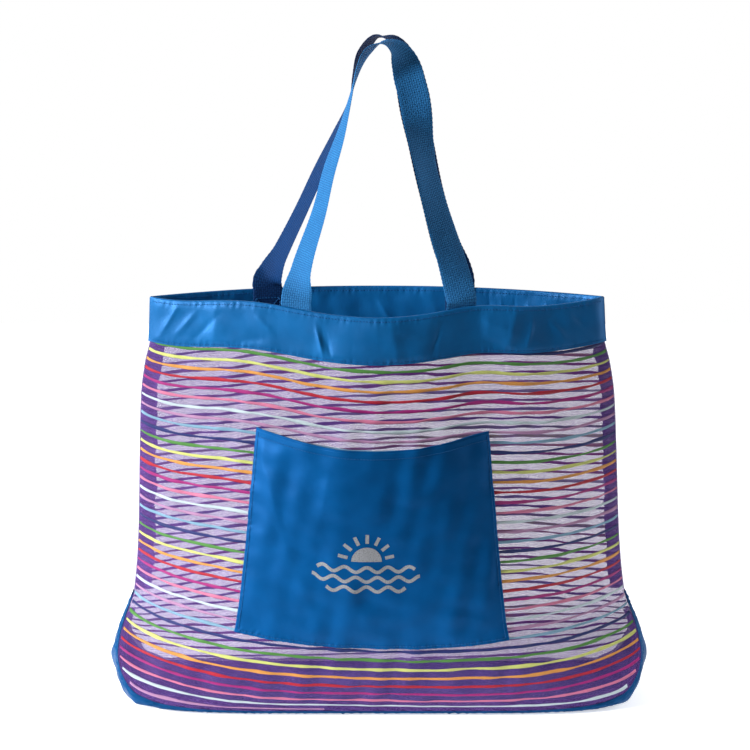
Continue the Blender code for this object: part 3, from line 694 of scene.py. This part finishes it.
BACK_BAND_CREASES = [
    ((-0.215, 0.402), (-0.190, 0.378), 0.0035, 0.0014), ((-0.165, 0.400), (-0.140, 0.392), 0.0045, -0.0014),
    ((-0.060, 0.376), (-0.020, 0.384), 0.0045, 0.0014), ((0.000, 0.402), (0.018, 0.376), 0.0035, 0.0012),
    ((0.118, 0.404), (0.122, 0.374), 0.0022, 0.0014), ((0.133, 0.406), (0.134, 0.380), 0.0020, -0.0012),
    ((0.147, 0.404), (0.150, 0.372), 0.0022, 0.0015), ((0.163, 0.406), (0.162, 0.378), 0.0020, -0.0012),
    ((0.178, 0.402), (0.182, 0.374), 0.0024, 0.0013), ((0.200, 0.404), (0.196, 0.380), 0.0022, 0.0012),
    ((0.218, 0.400), (0.222, 0.376), 0.0022, -0.0010)]
band_folds = {True: creases(FRONT_BAND_CREASES), False: creases(BACK_BAND_CREASES)}
band_waves = {True: waves(14, 0.016, 0.070, 0.00026, 21), False: waves(14, 0.016, 0.070, 0.00026, 22)}
pucker = waves(8, 0.0050, 0.0095, 0.00042, 23)
LOW_STITCH = BAND_BOTTOM + 0.0025
RIM_STITCH = PANEL_HEIGHT - 0.0040
FOLD_RADIUS = 0.0015  # of the band's round top edge


def feet(front):
    """How far across a handle's two feet stand."""
    loop = FRONT_LOOP if front else BACK_LOOP
    return loop[0][0], loop[-1][0]


def by_tail(front, a):
    """1 where a handle's end is sewn to the band, 0 elsewhere."""
    x = a * edge_x(PANEL_HEIGHT) / PANEL_HALF_WIDTH
    return np.maximum(*(smoothstep((0.026 - np.abs(x - foot)) / 0.010) for foot in feet(front)))


def band_relief(front, a, h, inside):
    """Height of the band's wrinkles above its flat skin, on its outer face or its inner facing."""
    sewn = np.exp(-((h - LOW_STITCH) / 0.0028) ** 2) + np.exp(-((h - RIM_STITCH) / 0.0024) ** 2)
    free = smoothstep((h - BAND_BOTTOM) / 0.007) * smoothstep((PANEL_HEIGHT - h) / 0.008)
    free = free * smoothstep((PANEL_HALF_WIDTH - np.abs(a)) / 0.012)
    folds = band_folds[front](a, h) if inside != front else band_folds[not front](-a, h) * 0.6
    relief = free * (0.0009 + folds + band_waves[front](a, h if inside else h + 0.3))
    relief = relief + sewn * pucker(a, h * 0.25 + (0.2 if inside else 0.0)) * 0.28
    relief = relief * (1 - (0.9 if inside else 0.5) * by_tail(front, a))
    return np.maximum(relief, -0.0003)


def rim_band(front):
    """Band of nylon folded over the panel's top edge: its outer face, fold and inner facing in one."""
    side = SIDE[front]
    up = np.concatenate([[0.0, 0.0006], np.linspace(0.002, BAND_HEIGHT - FOLD_RADIUS, 19)]) + BAND_BOTTOM
    top = PANEL_HEIGHT - FOLD_RADIUS
    turn = np.linspace(0, np.pi, 9)[1:-1]
    profile = [(h, SKIN, 1) for h in up]
    profile += [(top + FOLD_RADIUS * math.sin(t), SKIN * math.cos(t), 0) for t in turn]
    profile += [(h, -SKIN, -1) for h in up[::-1]]
    profile += [(BAND_BOTTOM, -SLOT, 0), (top, -SLOT, 0), (top, SLOT, 0), (BAND_BOTTOM, SLOT, 0)]
    h, out, face = np.array(profile).T
    s = np.linspace(-1, 1, 521)[:, None]
    a, h = np.broadcast_arrays(s * PANEL_HALF_WIDTH, h)
    out = out + np.where(face > 0, band_relief(front, a, h, False), 0.0)
    out = out - np.where(face < 0, band_relief(front, a, h, True), 0.0)
    rings = panel_point(front, s, h) + out[..., None] * panel_normal(front, s, h)
    uv = stack(a, h + np.where(face < 0, 0.1, 0.0))
    piece = make(f"rim_band_{side}_cloth", band_nylon, *tube(rings, uv))
    declare(piece, "blue_nylon", f"rim_band_{side}")


def band_line(front, h, inside):
    """Line just above the band's skin at flat height h, with its normals."""
    a = np.linspace(-PANEL_HALF_WIDTH * 0.985, PANEL_HALF_WIDTH * 0.985, 700)
    s = a / PANEL_HALF_WIDTH
    out = SKIN + band_relief(front, a, h, inside) + 0.0001
    normal = panel_normal(front, s, h) * (-1 if inside else 1)
    return panel_point(front, s, h) + out[:, None] * normal, normal


def band_stitches(front):
    side = SIDE[front]
    for place, h in (("lower", LOW_STITCH), ("rim", RIM_STITCH)):
        lines = [along_line(*band_line(front, h, inside)) for inside in (False, True)]
        piece = stitches(f"band_stitches_{place}_{side}", lines, blue_thread)
        declare(piece, "blue_thread", f"band_stitch_{place}_{side}")


# Pocket

POCKET_CREASES = [
    ((-0.130, 0.290), (-0.092, 0.170), 0.0150, 0.0034), ((-0.092, 0.170), (-0.058, 0.098), 0.0170, 0.0016),
    ((-0.046, 0.272), (-0.062, 0.205), 0.0120, 0.0020), ((-0.062, 0.205), (-0.004, 0.100), 0.0150, 0.0020),
    ((0.060, 0.270), (0.074, 0.215), 0.0140, 0.0012), ((0.122, 0.180), (0.108, 0.110), 0.0120, 0.0016),
    ((-0.135, 0.110), (-0.080, 0.124), 0.0060, 0.0008), ((0.120, 0.104), (0.070, 0.120), 0.0060, 0.0008)]
pocket_folds = creases(POCKET_CREASES)
pocket_waves = waves(12, 0.024, 0.090, 0.00006, 31)
POCKET_OUT = NET / 2 + 0.0004 + NYLON / 2 + 0.0004  # from the net's middle to the pocket's, with clearances
POCKET_SEAM_U = 0.975  # the pocket's side stitching, its bottom stitching and its hem's
POCKET_SEAM_V = 0.014
HEM_STITCH_V = 0.962


def pocket_point(u, v, out):
    """Point of the pocket: u runs -1 to 1 across, v runs 0 to 1 from its bottom seam to its mouth."""
    left, left_h = (low + (top - low) * v for low, top in zip(*POCKET_LEFT))
    right, right_h = (low + (top - low) * v for low, top in zip(*POCKET_RIGHT))
    t = (u + 1) / 2
    a = left + (right - left) * t
    sag = (POCKET_BOTTOM_SAG * (1 - v) + POCKET_TOP_SAG * v * v) * (1 - np.abs(u) ** 2.4)
    h = left_h + (right_h - left_h) * t - sag
    gape = POCKET_GAPE * np.clip(v, 0, 1) ** 1.6 * (1 - np.abs(u) ** 2.6)
    gape = gape + 0.0016 * (1 - (2 * v - 1) ** 4) * (1 - u ** 4)
    sewn = smoothstep((1 - np.abs(u)) / 0.10) * smoothstep(v / 0.07)
    rim = smoothstep((1.02 - v) / 0.10)
    relief = sewn * (0.0003 + (0.30 + 0.70 * rim) * (0.8 * pocket_folds(a, h) + pocket_waves(a, h)))
    edge = np.exp(-((1 - np.abs(u)) / 0.035) ** 2) + np.exp(-(v / 0.030) ** 2)
    relief = relief + 0.45 * edge * pucker(h * 1.1 + 0.3, a) * smoothstep((1.0 - np.abs(u)) / 0.02)
    return skin(True, a, h, POCKET_OUT + gape + np.maximum(relief, -0.0004) + out), a, h


def pocket_columns():
    """Places across the pocket, a little closer together at its sides than at its middle."""
    u = np.linspace(-1, 1, 211)
    return (np.sign(u) * np.abs(u) ** 0.85)[:, None]


def front_pocket():
    u, v = pocket_columns(), np.linspace(0, 0.994, 141)
    outer, a, h = pocket_point(u, v, NYLON / 2)
    inner, _, _ = pocket_point(u, v, -NYLON / 2)
    piece = make("pocket_cloth", pocket_nylon, *slab(outer, inner, stack(a, h)))
    declare(piece, "blue_nylon", "front_pocket")


def pocket_hem():
    """The pocket's top edge, rolled over and folded twice to the inside."""
    turn = np.linspace(0, np.pi, 7)
    profile = [(1.0 + 0.0035 * math.sin(t), -0.0006 + 0.00115 * math.cos(t)) for t in turn]
    profile += [(v, -0.00175) for v in np.linspace(0.995, HEM_START, 9)[1:]]
    profile += [(v, -0.00062) for v in np.linspace(HEM_START, 0.985, 7)]
    v, out = np.array(profile).T
    rings, a, h = pocket_point(pocket_columns(), v, out)
    declare(make("pocket_hem_fold", pocket_nylon, *tube(rings, stack(a, h))), "blue_nylon", "pocket_hem")


def pocket_line(u, v):
    """Centres, directions and normals of the stitches along a line on the pocket's face."""
    u, v = np.broadcast_arrays(u, v)
    point, lifted = (pocket_point(u, v, NYLON / 2 + rise)[0] for rise in (0.0002, 0.0012))
    return along_line(point, unit(lifted - point))


def pocket_stitches():
    down = np.linspace(0.985, POCKET_SEAM_V, 200)
    across = np.linspace(-POCKET_SEAM_U, POCKET_SEAM_U, 260)
    lines = [pocket_line(-POCKET_SEAM_U, down), pocket_line(across, POCKET_SEAM_V),
             pocket_line(POCKET_SEAM_U, down)]
    declare(stitches("pocket_stitches", lines, blue_thread), "blue_thread", "pocket_stitching")
    lines = [pocket_line(across, HEM_STITCH_V)]
    declare(stitches("pocket_hem_stitches", lines, blue_thread), "blue_thread", "pocket_hem_stitching")


# Places of the print's parts in metres from its centre
PRINT_REACH = (0.133, 0.213)  # the pocket's half width and its height there
PRINT_CENTRE = (-0.006 / PRINT_REACH[0], 0.43)  # (u, v) on the pocket
PRINT_LINE = 0.0036
SUN_HEIGHT = 0.004
SUN_RADIUS = 0.0155
RAYS = (0.0195, 0.0290)  # from and to, measured from the sun's centre
WAVE_ROWS = (0.050, 0.055, 0.040)  # half length of each row
WAVE_TOP = -0.0045
WAVE_PITCH = 0.0105
WAVE_LENGTH = 0.022
WAVE_RISE = 0.0026


def pocket_print():
    """Generic seaside motif in grey ink: a half sun with rays over three rows of waves."""
    points, faces, uvs = [], [], []

    def patch(x, y):
        """Ink over a grid of places."""
        u, v = (centre + place / reach for centre, place, reach in zip(PRINT_CENTRE, (x, y), PRINT_REACH))
        top, a, h = pocket_point(u, v, NYLON / 2 + 0.00016)
        faces.extend(grid_faces(*x.shape, start=sum(len(part) for part in points)).tolist())
        points.append(top.reshape(-1, 3))
        uvs.append(stack(a, h).reshape(-1, 2))

    def line(x, y):
        along_x, along_y = (np.gradient(place) / np.hypot(np.gradient(x), np.gradient(y)) for place in (x, y))
        aside = np.linspace(-0.5, 0.5, 3) * PRINT_LINE
        patch(x[:, None] + aside * along_y[:, None], y[:, None] - aside * along_x[:, None])

    turn = np.linspace(0, np.pi, 48)[:, None]
    radius = np.linspace(0.0002, SUN_RADIUS, 14)
    patch(radius * np.cos(turn), SUN_HEIGHT + radius * np.sin(turn))
    for ray in np.radians(np.arange(12, 169, 26)):
        reach = np.linspace(*RAYS, 8)
        line(reach * math.cos(ray), SUN_HEIGHT + reach * math.sin(ray))
    for row, half in enumerate(WAVE_ROWS):
        x = np.linspace(-half, half, 150)
        rise = WAVE_RISE * np.cos(2 * np.pi * x / WAVE_LENGTH + np.pi * row)
        line(x, WAVE_TOP - WAVE_PITCH * row + rise)
    declare(make("pocket_print", ink, np.concatenate(points), faces, np.concatenate(uvs)), "blue_nylon")


# Gusset and turned-in seams

GUSSET_LEAST = 0.0012  # half width of the gusset's tips
SEAM_REACH = 0.0105  # depth of the bottom seam's allowance
SEAM_SKIRT = 0.0010  # and how far its cloth shows below the seam


def seam_path(front):
    """The bottom seam from the left tip round under the bag to the right tip, as (s, h) and points."""
    corner = CORNER_RADIUS * (1 - np.sin(np.linspace(0, np.pi / 2, 26)[1:]))
    side = np.concatenate([np.linspace(TIP_HEIGHT, CORNER_RADIUS, 34), corner])
    bottom = np.linspace(-1, 1, 152)[1:-1] * 0.985
    s = np.concatenate([-np.ones(len(side)), bottom, np.ones(len(side))])
    h = np.concatenate([side, 0 * bottom, side[::-1]])
    return s, h, panel_point(front, s, h)


def gusset_grid(s, h, seam, run, v):
    """Places of the gusset's middle surface, columns along the seam and rows across, and how near each
    column is to the flat base: 0 at the tips, 1 from the bag's corners inward."""
    end_x = smooth_curve([(u, x) for u, x, _ in GUSSET_END])
    end_z = smooth_curve([(u, z) for u, _, z in GUSSET_END])
    clear = NET / 2 + 0.0004 + NYLON / 2
    end_length = run[np.argmax(h == 0)] + GUSSET_END_MARGIN
    level = np.minimum(np.minimum(run, run[-1] - run) / end_length, 1.0)
    side = smoothstep(h / 0.006)[:, None]
    outward = stack(np.sign(s), 0, -0.35)
    edge = seam + (1 - side) * np.array([0.0, 0.0, -clear]) + side * 0.3 * clear * outward
    ends = stack(np.sign(s) * end_x(level) + GUSSET_LEAN, 0, end_z(level))
    middle = np.where((level < 1)[:, None], ends, stack(seam[:, 0], 0, 0))
    power = (2.2 + 7.8 * level ** 2)[:, None]
    flat = np.array([1.0, 0.0, 1.0])
    drop = (1 - np.abs(v) ** power)[..., None]
    grid = (edge * flat)[:, None, :] + (middle - edge * flat)[:, None, :] * drop
    half = np.abs(edge[:, 1])
    roll = np.sign(v) * GUSSET_ROLL * level[:, None] * np.sin(np.pi * np.abs(v) ** 6)
    grid[..., 1] += v * np.maximum(half, GUSSET_LEAST)[:, None] + roll
    grid[..., 2] += NYLON / 2
    return grid, half, level


def gusset():
    """Boat-shaped base between the two bottom seams, running out to a tip up each side seam."""
    s, h, seam = seam_path(True)
    run = run_length(seam)
    v = np.sin(np.linspace(-np.pi / 2, np.pi / 2, 81))
    v = np.sign(v) * np.abs(v) ** 0.9
    grid, half, level = gusset_grid(s, h, seam, run, v)
    normal = unit(np.cross(np.gradient(grid, axis=0), np.gradient(grid, axis=1)))
    facing = np.sum(normal * (grid - np.array([0.0, 0.0, 0.06])), axis=2, keepdims=True)
    normal = np.where(facing < 0, -normal, normal)
    wide = np.maximum(half, 0.006)[:, None]
    from_seam = (1 - np.abs(v)) * wide
    gathers = np.exp(-(from_seam / 0.006) ** 2) * smoothstep(from_seam / 0.0012)
    gathers = gathers * pucker(run[:, None], 0.2 * v)
    swell = smoothstep(from_seam / 0.012) * waves(14, 0.012, 0.06, 0.0005, 41)(run[:, None], v * wide)
    relief = (1.2 * gathers + swell * smoothstep((1 - level) / 0.5 + 0.25)[:, None])[..., None]
    outer, inner = (grid + (relief + skin_side) * normal for skin_side in (NYLON / 2, -NYLON / 2))
    outer[..., 2] = np.maximum(outer[..., 2], 0.0)
    inner[..., 2] = np.maximum(inner[..., 2], 0.0003)
    piece = make("gusset_cloth", gusset_nylon, *slab(outer, inner, stack(run[:, None], v * wide)))
    declare(piece, "blue_nylon", "bottom_gusset")
    width = 2 * np.maximum(half, GUSSET_LEAST)


def side_seam(hand):
    """The two panels' side allowances, sewn together and turned in, with an overlocked edge."""
    sign = -1 if hand == "left" else 1
    depth = 0.0165 if hand == "left" else 0.0135
    h = np.linspace(TIP_HEIGHT + 0.002, PANEL_HEIGHT - 0.003, 150)
    across = np.linspace(0.0006, 1.0, 12)[:, None]
    inset = depth * across + waves(8, 0.010, 0.05, 0.0008, 51 + sign)(h, 0.1) * across ** 2
    x = sign * (edge_x(h) - 0.0008 - inset) + lean(h)
    layers = []
    for layer in (-1, 1):
        y = layer * 0.0004 * (1 + across) + 0.0009 * across ** 2 * np.sin(h / 0.009 + layer)
        layers.append(stack(x, y, edge_z(h)))
    uv = stack(inset + 0.37, h)
    both, uv = np.concatenate([layers[0][::-1], layers[1]]), np.concatenate([uv[::-1], uv])
    piece = make(f"side_seam_{hand}_cloth", seam_net, both, grid_faces(*both.shape[:2]), uv)
    declare(piece, "striped_mesh", f"side_seam_{hand}")
    edge = layers[0][-2]
    normal = np.tile([0.0, -1.0, 0.0], (len(edge), 1))
    zigzag = []
    for offset, slant in ((-0.0006, 0.7), (0.0006, -0.7)):
        line = edge + np.array([offset, -THREAD_LIFT, 0.0])
        centres, directions, normals = along_line(line, normal, FINE_PITCH)
        zigzag.append((centres, unit(directions + np.array([slant * sign, 0.0, 0.0])), normals))
    over = stitches(f"side_seam_{hand}_overlock", zigzag, purple_thread, 0.0030, 0.0005, 0.0004)
    declare(over, "striped_mesh")


def bottom_seam(front):
    """The gusset's and panel's edges sewn together, standing inside the bag along the bottom seam."""
    side = SIDE[front]
    s, h, points = seam_path(front)
    into = 1.0 if front else -1.0
    keep = slice(14, len(s) - 14)
    turn = np.clip(h / 0.012, 0, 1) * np.sign(s)
    inward = unit(stack(-0.72 * turn, into * (0.86 - 0.14 * np.abs(turn)), 0.50 - 0.42 * np.abs(turn)))
    run = run_length(points)
    reach = np.linspace(0.0, SEAM_REACH, 7)
    grid = points[:, None, :] + inward[:, None, :] * reach[:, None]
    grid[..., 2] += 0.0008 * np.sin(run / 0.006)[:, None] * (reach / SEAM_REACH) ** 2
    skirt = points[:, None, :] - np.array([0.0, 0.0, SEAM_SKIRT])
    grid = np.concatenate([skirt, grid], axis=1)[keep]
    uv = stack(run[keep][:, None], np.concatenate([[-SEAM_SKIRT], reach]))
    piece = make(f"bottom_seam_{side}_cloth", seam_net, grid, grid_faces(*grid.shape[:2]), uv)
    declare(piece, "striped_mesh", f"bottom_seam_{side}")
    normal = np.tile([0.0, 0.0, 1.0], (grid.shape[0], 1))
    line = along_line(grid[:, -1] + np.array([0, 0, 0.0003]), normal, FINE_PITCH)
    over = stitches(f"bottom_seam_{side}_overlock", [line], purple_thread, 0.0028, 0.0008, 0.0004)
    declare(over, "striped_mesh")


# Handles

HANDLE_STATIONS = 900
HANDLE_ACROSS = 41
TAIL_STATIONS = 9
TAIL_STITCH_INSET = 0.003
TAIL_TOP_STITCH = 0.009
WEAVE_RELIEF = 0.00016


def tail_stations(front, foot):
    """Centres up a handle's sewn end, on the band's inner facing, and the direction of its width there."""
    s = foot / edge_x(PANEL_HEIGHT)
    h = np.linspace(PANEL_HEIGHT - TAIL_DEPTH, PANEL_HEIGHT - 0.001, TAIL_STATIONS)
    width = unit(panel_point(front, s + 0.01, h[-1]) - panel_point(front, s - 0.01, h[-1]))
    return panel_point(front, s, h) - TAIL_OUT * panel_normal(front, s, h), width


def loop_points(front):
    """Centres of the webbing, leaning in from its feet to where the two loops meet, and its rolls."""
    across, height, roll = np.array(FRONT_LOOP if front else BACK_LOOP, float).T
    sign = 1 if front else -1
    left, right = (panel_point(front, foot / edge_x(PANEL_HEIGHT), PANEL_HEIGHT)[1] + sign * TAIL_OUT
                   for foot in feet(front))
    foot = np.where(across < 0.5 * sum(feet(front)), left, right)
    share = (height - height[0]) / (height.max() - height[0])
    return stack(across, foot + (-sign * LOOP_TOP_Y - foot) * share, height), np.radians(roll)


def handle_frame(front):
    """Run along a handle, its centre, the directions of its width and face, and 1 where it isn't sewn."""
    (left, left_width), (right, right_width) = (tail_stations(front, foot) for foot in feet(front))
    loop, rolls = loop_points(front)
    path = np.concatenate([left, loop, right[::-1]])
    run = run_length(path)
    curves = [smooth_curve(stack(run, column)) for column in path.T]
    sewn = np.zeros(TAIL_STATIONS)
    roll_at = smooth_curve(stack(run, np.concatenate([sewn, rolls, sewn])))
    d = np.linspace(0, run[-1], HANDLE_STATIONS)
    centre = stack(*(curve(d) for curve in curves))
    for _ in range(6):
        centre[1:-1] = 0.25 * centre[:-2] + 0.5 * centre[1:-1] + 0.25 * centre[2:]
    along = unit(stack(*(curve(d + 0.004) - curve(d - 0.004) for curve in curves)))
    roll = roll_at(d)[:, None]
    flat = stack(along[:, 2], 0, -along[:, 0])
    width = np.cos(roll) * flat + np.sin(roll) * np.array([0.0, -1.0, 0.0])
    sewn_left = smoothstep((run[TAIL_STATIONS] + 0.014 - d) / 0.018)[:, None]
    sewn_right = smoothstep((d - run[-1 - TAIL_STATIONS] + 0.014) / 0.018)[:, None]
    loose = 1 - sewn_left - sewn_right
    width = width * loose + left_width * sewn_left - right_width * sewn_right
    width = unit(width - along * np.sum(width * along, axis=1, keepdims=True))
    return d, centre, width, np.cross(width, along), loose


def handle(front):
    """Webbing of one handle, from one sewn end over the loop to the other, with its basket weave."""
    side = SIDE[front]
    d, centre, width, face, loose = handle_frame(front)
    c = np.linspace(-1, 1, HANDLE_ACROSS)
    edge = (1 - np.abs(c) ** 10) ** 0.5
    ribs = np.cos(np.pi * d / WEAVE_CELL)[:, None]
    weave = WEAVE_RELIEF * np.cos(np.pi * (c * WEBBING_WIDTH / 2) / WEAVE_CELL) * ribs * edge
    cup = 0.0011 * loose * np.sin(d / 0.055 + 0.6)[:, None] * (c ** 2 - 0.4)
    cup = cup + 0.0004 * loose * np.sin(d / 0.021 + 2.0)[:, None] * c ** 3
    top, bottom = (cup + half * edge + weave for half in (WEBBING / 2, -WEBBING / 2))
    aside = c * WEBBING_WIDTH / 2 * (1 + 0.012 * ribs * np.abs(c) ** 12)
    lift = np.concatenate([top, bottom[:, ::-1]], axis=1)
    out = np.concatenate([aside, aside[:, ::-1]], axis=1)
    rings = centre[:, None, :] + out[..., None] * width[:, None, :] + lift[..., None] * face[:, None, :]
    uv = stack(out + WEBBING_WIDTH / 2, d[:, None])
    # the back handle takes the darker copy of the webbing, which is painted shade
    piece = make(f"{side}_webbing", strap if front else painted_shade_strap, *tube(rings, uv))
    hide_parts(f"handle_{side}", f"handle_tail_{side}_left", f"handle_tail_{side}_right")
    joint = next(j for j in frame["joints"] if j["name"] == f"{side}_handle_fold")
    fold = joint["pos_m"][2]
    fold - 0.0018
    fold + 0.0075
    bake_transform(piece)


def tail_stitches(front):
    """Box and cross of stitching that holds each handle end to the band, on its inner side."""
    wide = WEBBING_WIDTH / 2 - TAIL_STITCH_INSET
    high, low = PANEL_HEIGHT - TAIL_TOP_STITCH, PANEL_HEIGHT - TAIL_DEPTH + TAIL_STITCH_INSET
    a, b, c, d = (-wide, high), (-wide, low), (wide, low), (wide, high)
    corners = [a, b, c, d, a, c, d, b]
    t = np.linspace(0, 1, 30)
    for hand, foot in zip(("left", "right"), feet(front)):
        lines = []
        for (x0, h0), (x1, h1) in zip(corners, corners[1:]):
            s = (foot + x0 + (x1 - x0) * t) / edge_x(PANEL_HEIGHT)
            h = h0 + (h1 - h0) * t
            normal = -panel_normal(front, s, h)
            point = panel_point(front, s, h) + (TAIL_OUT + WEBBING / 2 + THREAD_LIFT) * normal
            lines.append(along_line(point, normal, FINE_PITCH))
        piece = stitches(f"tail_stitches_{SIDE[front]}_{hand}", lines, blue_thread)
        declare(piece, "blue_thread", f"tail_stitch_{SIDE[front]}_{hand}")


# Stage, light and camera

def floor():
    mesh = bpy.data.meshes.new("floor")
    corners = [(-0.75, -0.30, 0), (0.75, -0.30, 0), (0.75, 1.60, 0), (-0.75, 1.60, 0)]
    mesh.from_pydata(corners, [], [(0, 1, 2, 3)])
    obj = bpy.data.objects.new("floor", mesh)
    obj.location.z = -0.0006
    bpy.context.scene.collection.objects.link(obj)
    made = bpy.data.materials.new("pale_floor")
    made.use_nodes = True
    where = Term(add(made.node_tree, "ShaderNodeTexCoord").outputs["Object"])
    tone = mixed(spread(noise(where, 3.0), 0.3, 0.7), (0.96, 0.96, 0.96), (0.98, 0.98, 0.98))
    mesh.materials.append(finish_surface(made, tone, 0.8, emission_color=(1.0, 1.0, 1.0, 1.0),
                                         emission_strength=0.55))


def studio():
    """White surroundings that are dimmer on the side from which the bag is seen."""
    world = bpy.data.worlds.new("studio")
    world.use_nodes = True
    tree = world.node_tree
    place = Term(add(tree, "ShaderNodeTexCoord").outputs["Generated"])
    towards = add(tree, "ShaderNodeVectorMath", place, (0.25, -0.95, 0.0), operation="DOT_PRODUCT")
    background = tree.nodes["Background"]
    feed(background.inputs[0], (1.0, 1.0, 1.0, 1.0))
    feed(background.inputs[1], spread(Term(towards.outputs["Value"]), -0.5, 0.05, 1.0, 0.18))
    bpy.context.scene.world = world
    bpy.context.scene.view_settings.view_transform = "Standard"


def area_light(name, place, target, size, power):
    light = bpy.data.lights.new(name, "AREA")
    light.size = size
    light.energy = power
    obj = bpy.data.objects.new(name, light)
    obj.location = place
    obj.rotation_euler = (Vector(target) - Vector(place)).to_track_quat("-Z", "Y").to_euler()
    bpy.context.scene.collection.objects.link(obj)


def camera():
    """Looks along +Y from a little above."""
    distance, height, across, elevation = 2.300, 0.338, -0.002, math.radians(15)
    data = bpy.data.cameras.new("camera")
    data.sensor_width = 36.0
    data.lens = 110.4
    obj = bpy.data.objects.new("camera", data)
    obj.location = (across, -distance * math.cos(elevation), height + distance * math.sin(elevation))
    obj.rotation_euler = (math.pi / 2 - elevation, 0.0, 0.0)
    bpy.context.scene.collection.objects.link(obj)
    bpy.context.scene.camera = obj


floor()
studio()
camera()
area_light("key", (-2.95, -1.25, 1.30), (0.0, 0.0, 0.25), 1.2, 270.0)
area_light("side_fill", (2.35, 0.40, 0.80), (0.0, 0.0, 0.45), 1.4, 36.0)

for front in (True, False):
    net_panel(front)
    stripes(front)
    rim_band(front)
    band_stitches(front)
    bottom_seam(front)
    handle(front)
    tail_stitches(front)
gusset()
for hand in ("left", "right"):
    side_seam(hand)
front_pocket()
pocket_hem()
pocket_stitches()
pocket_print()
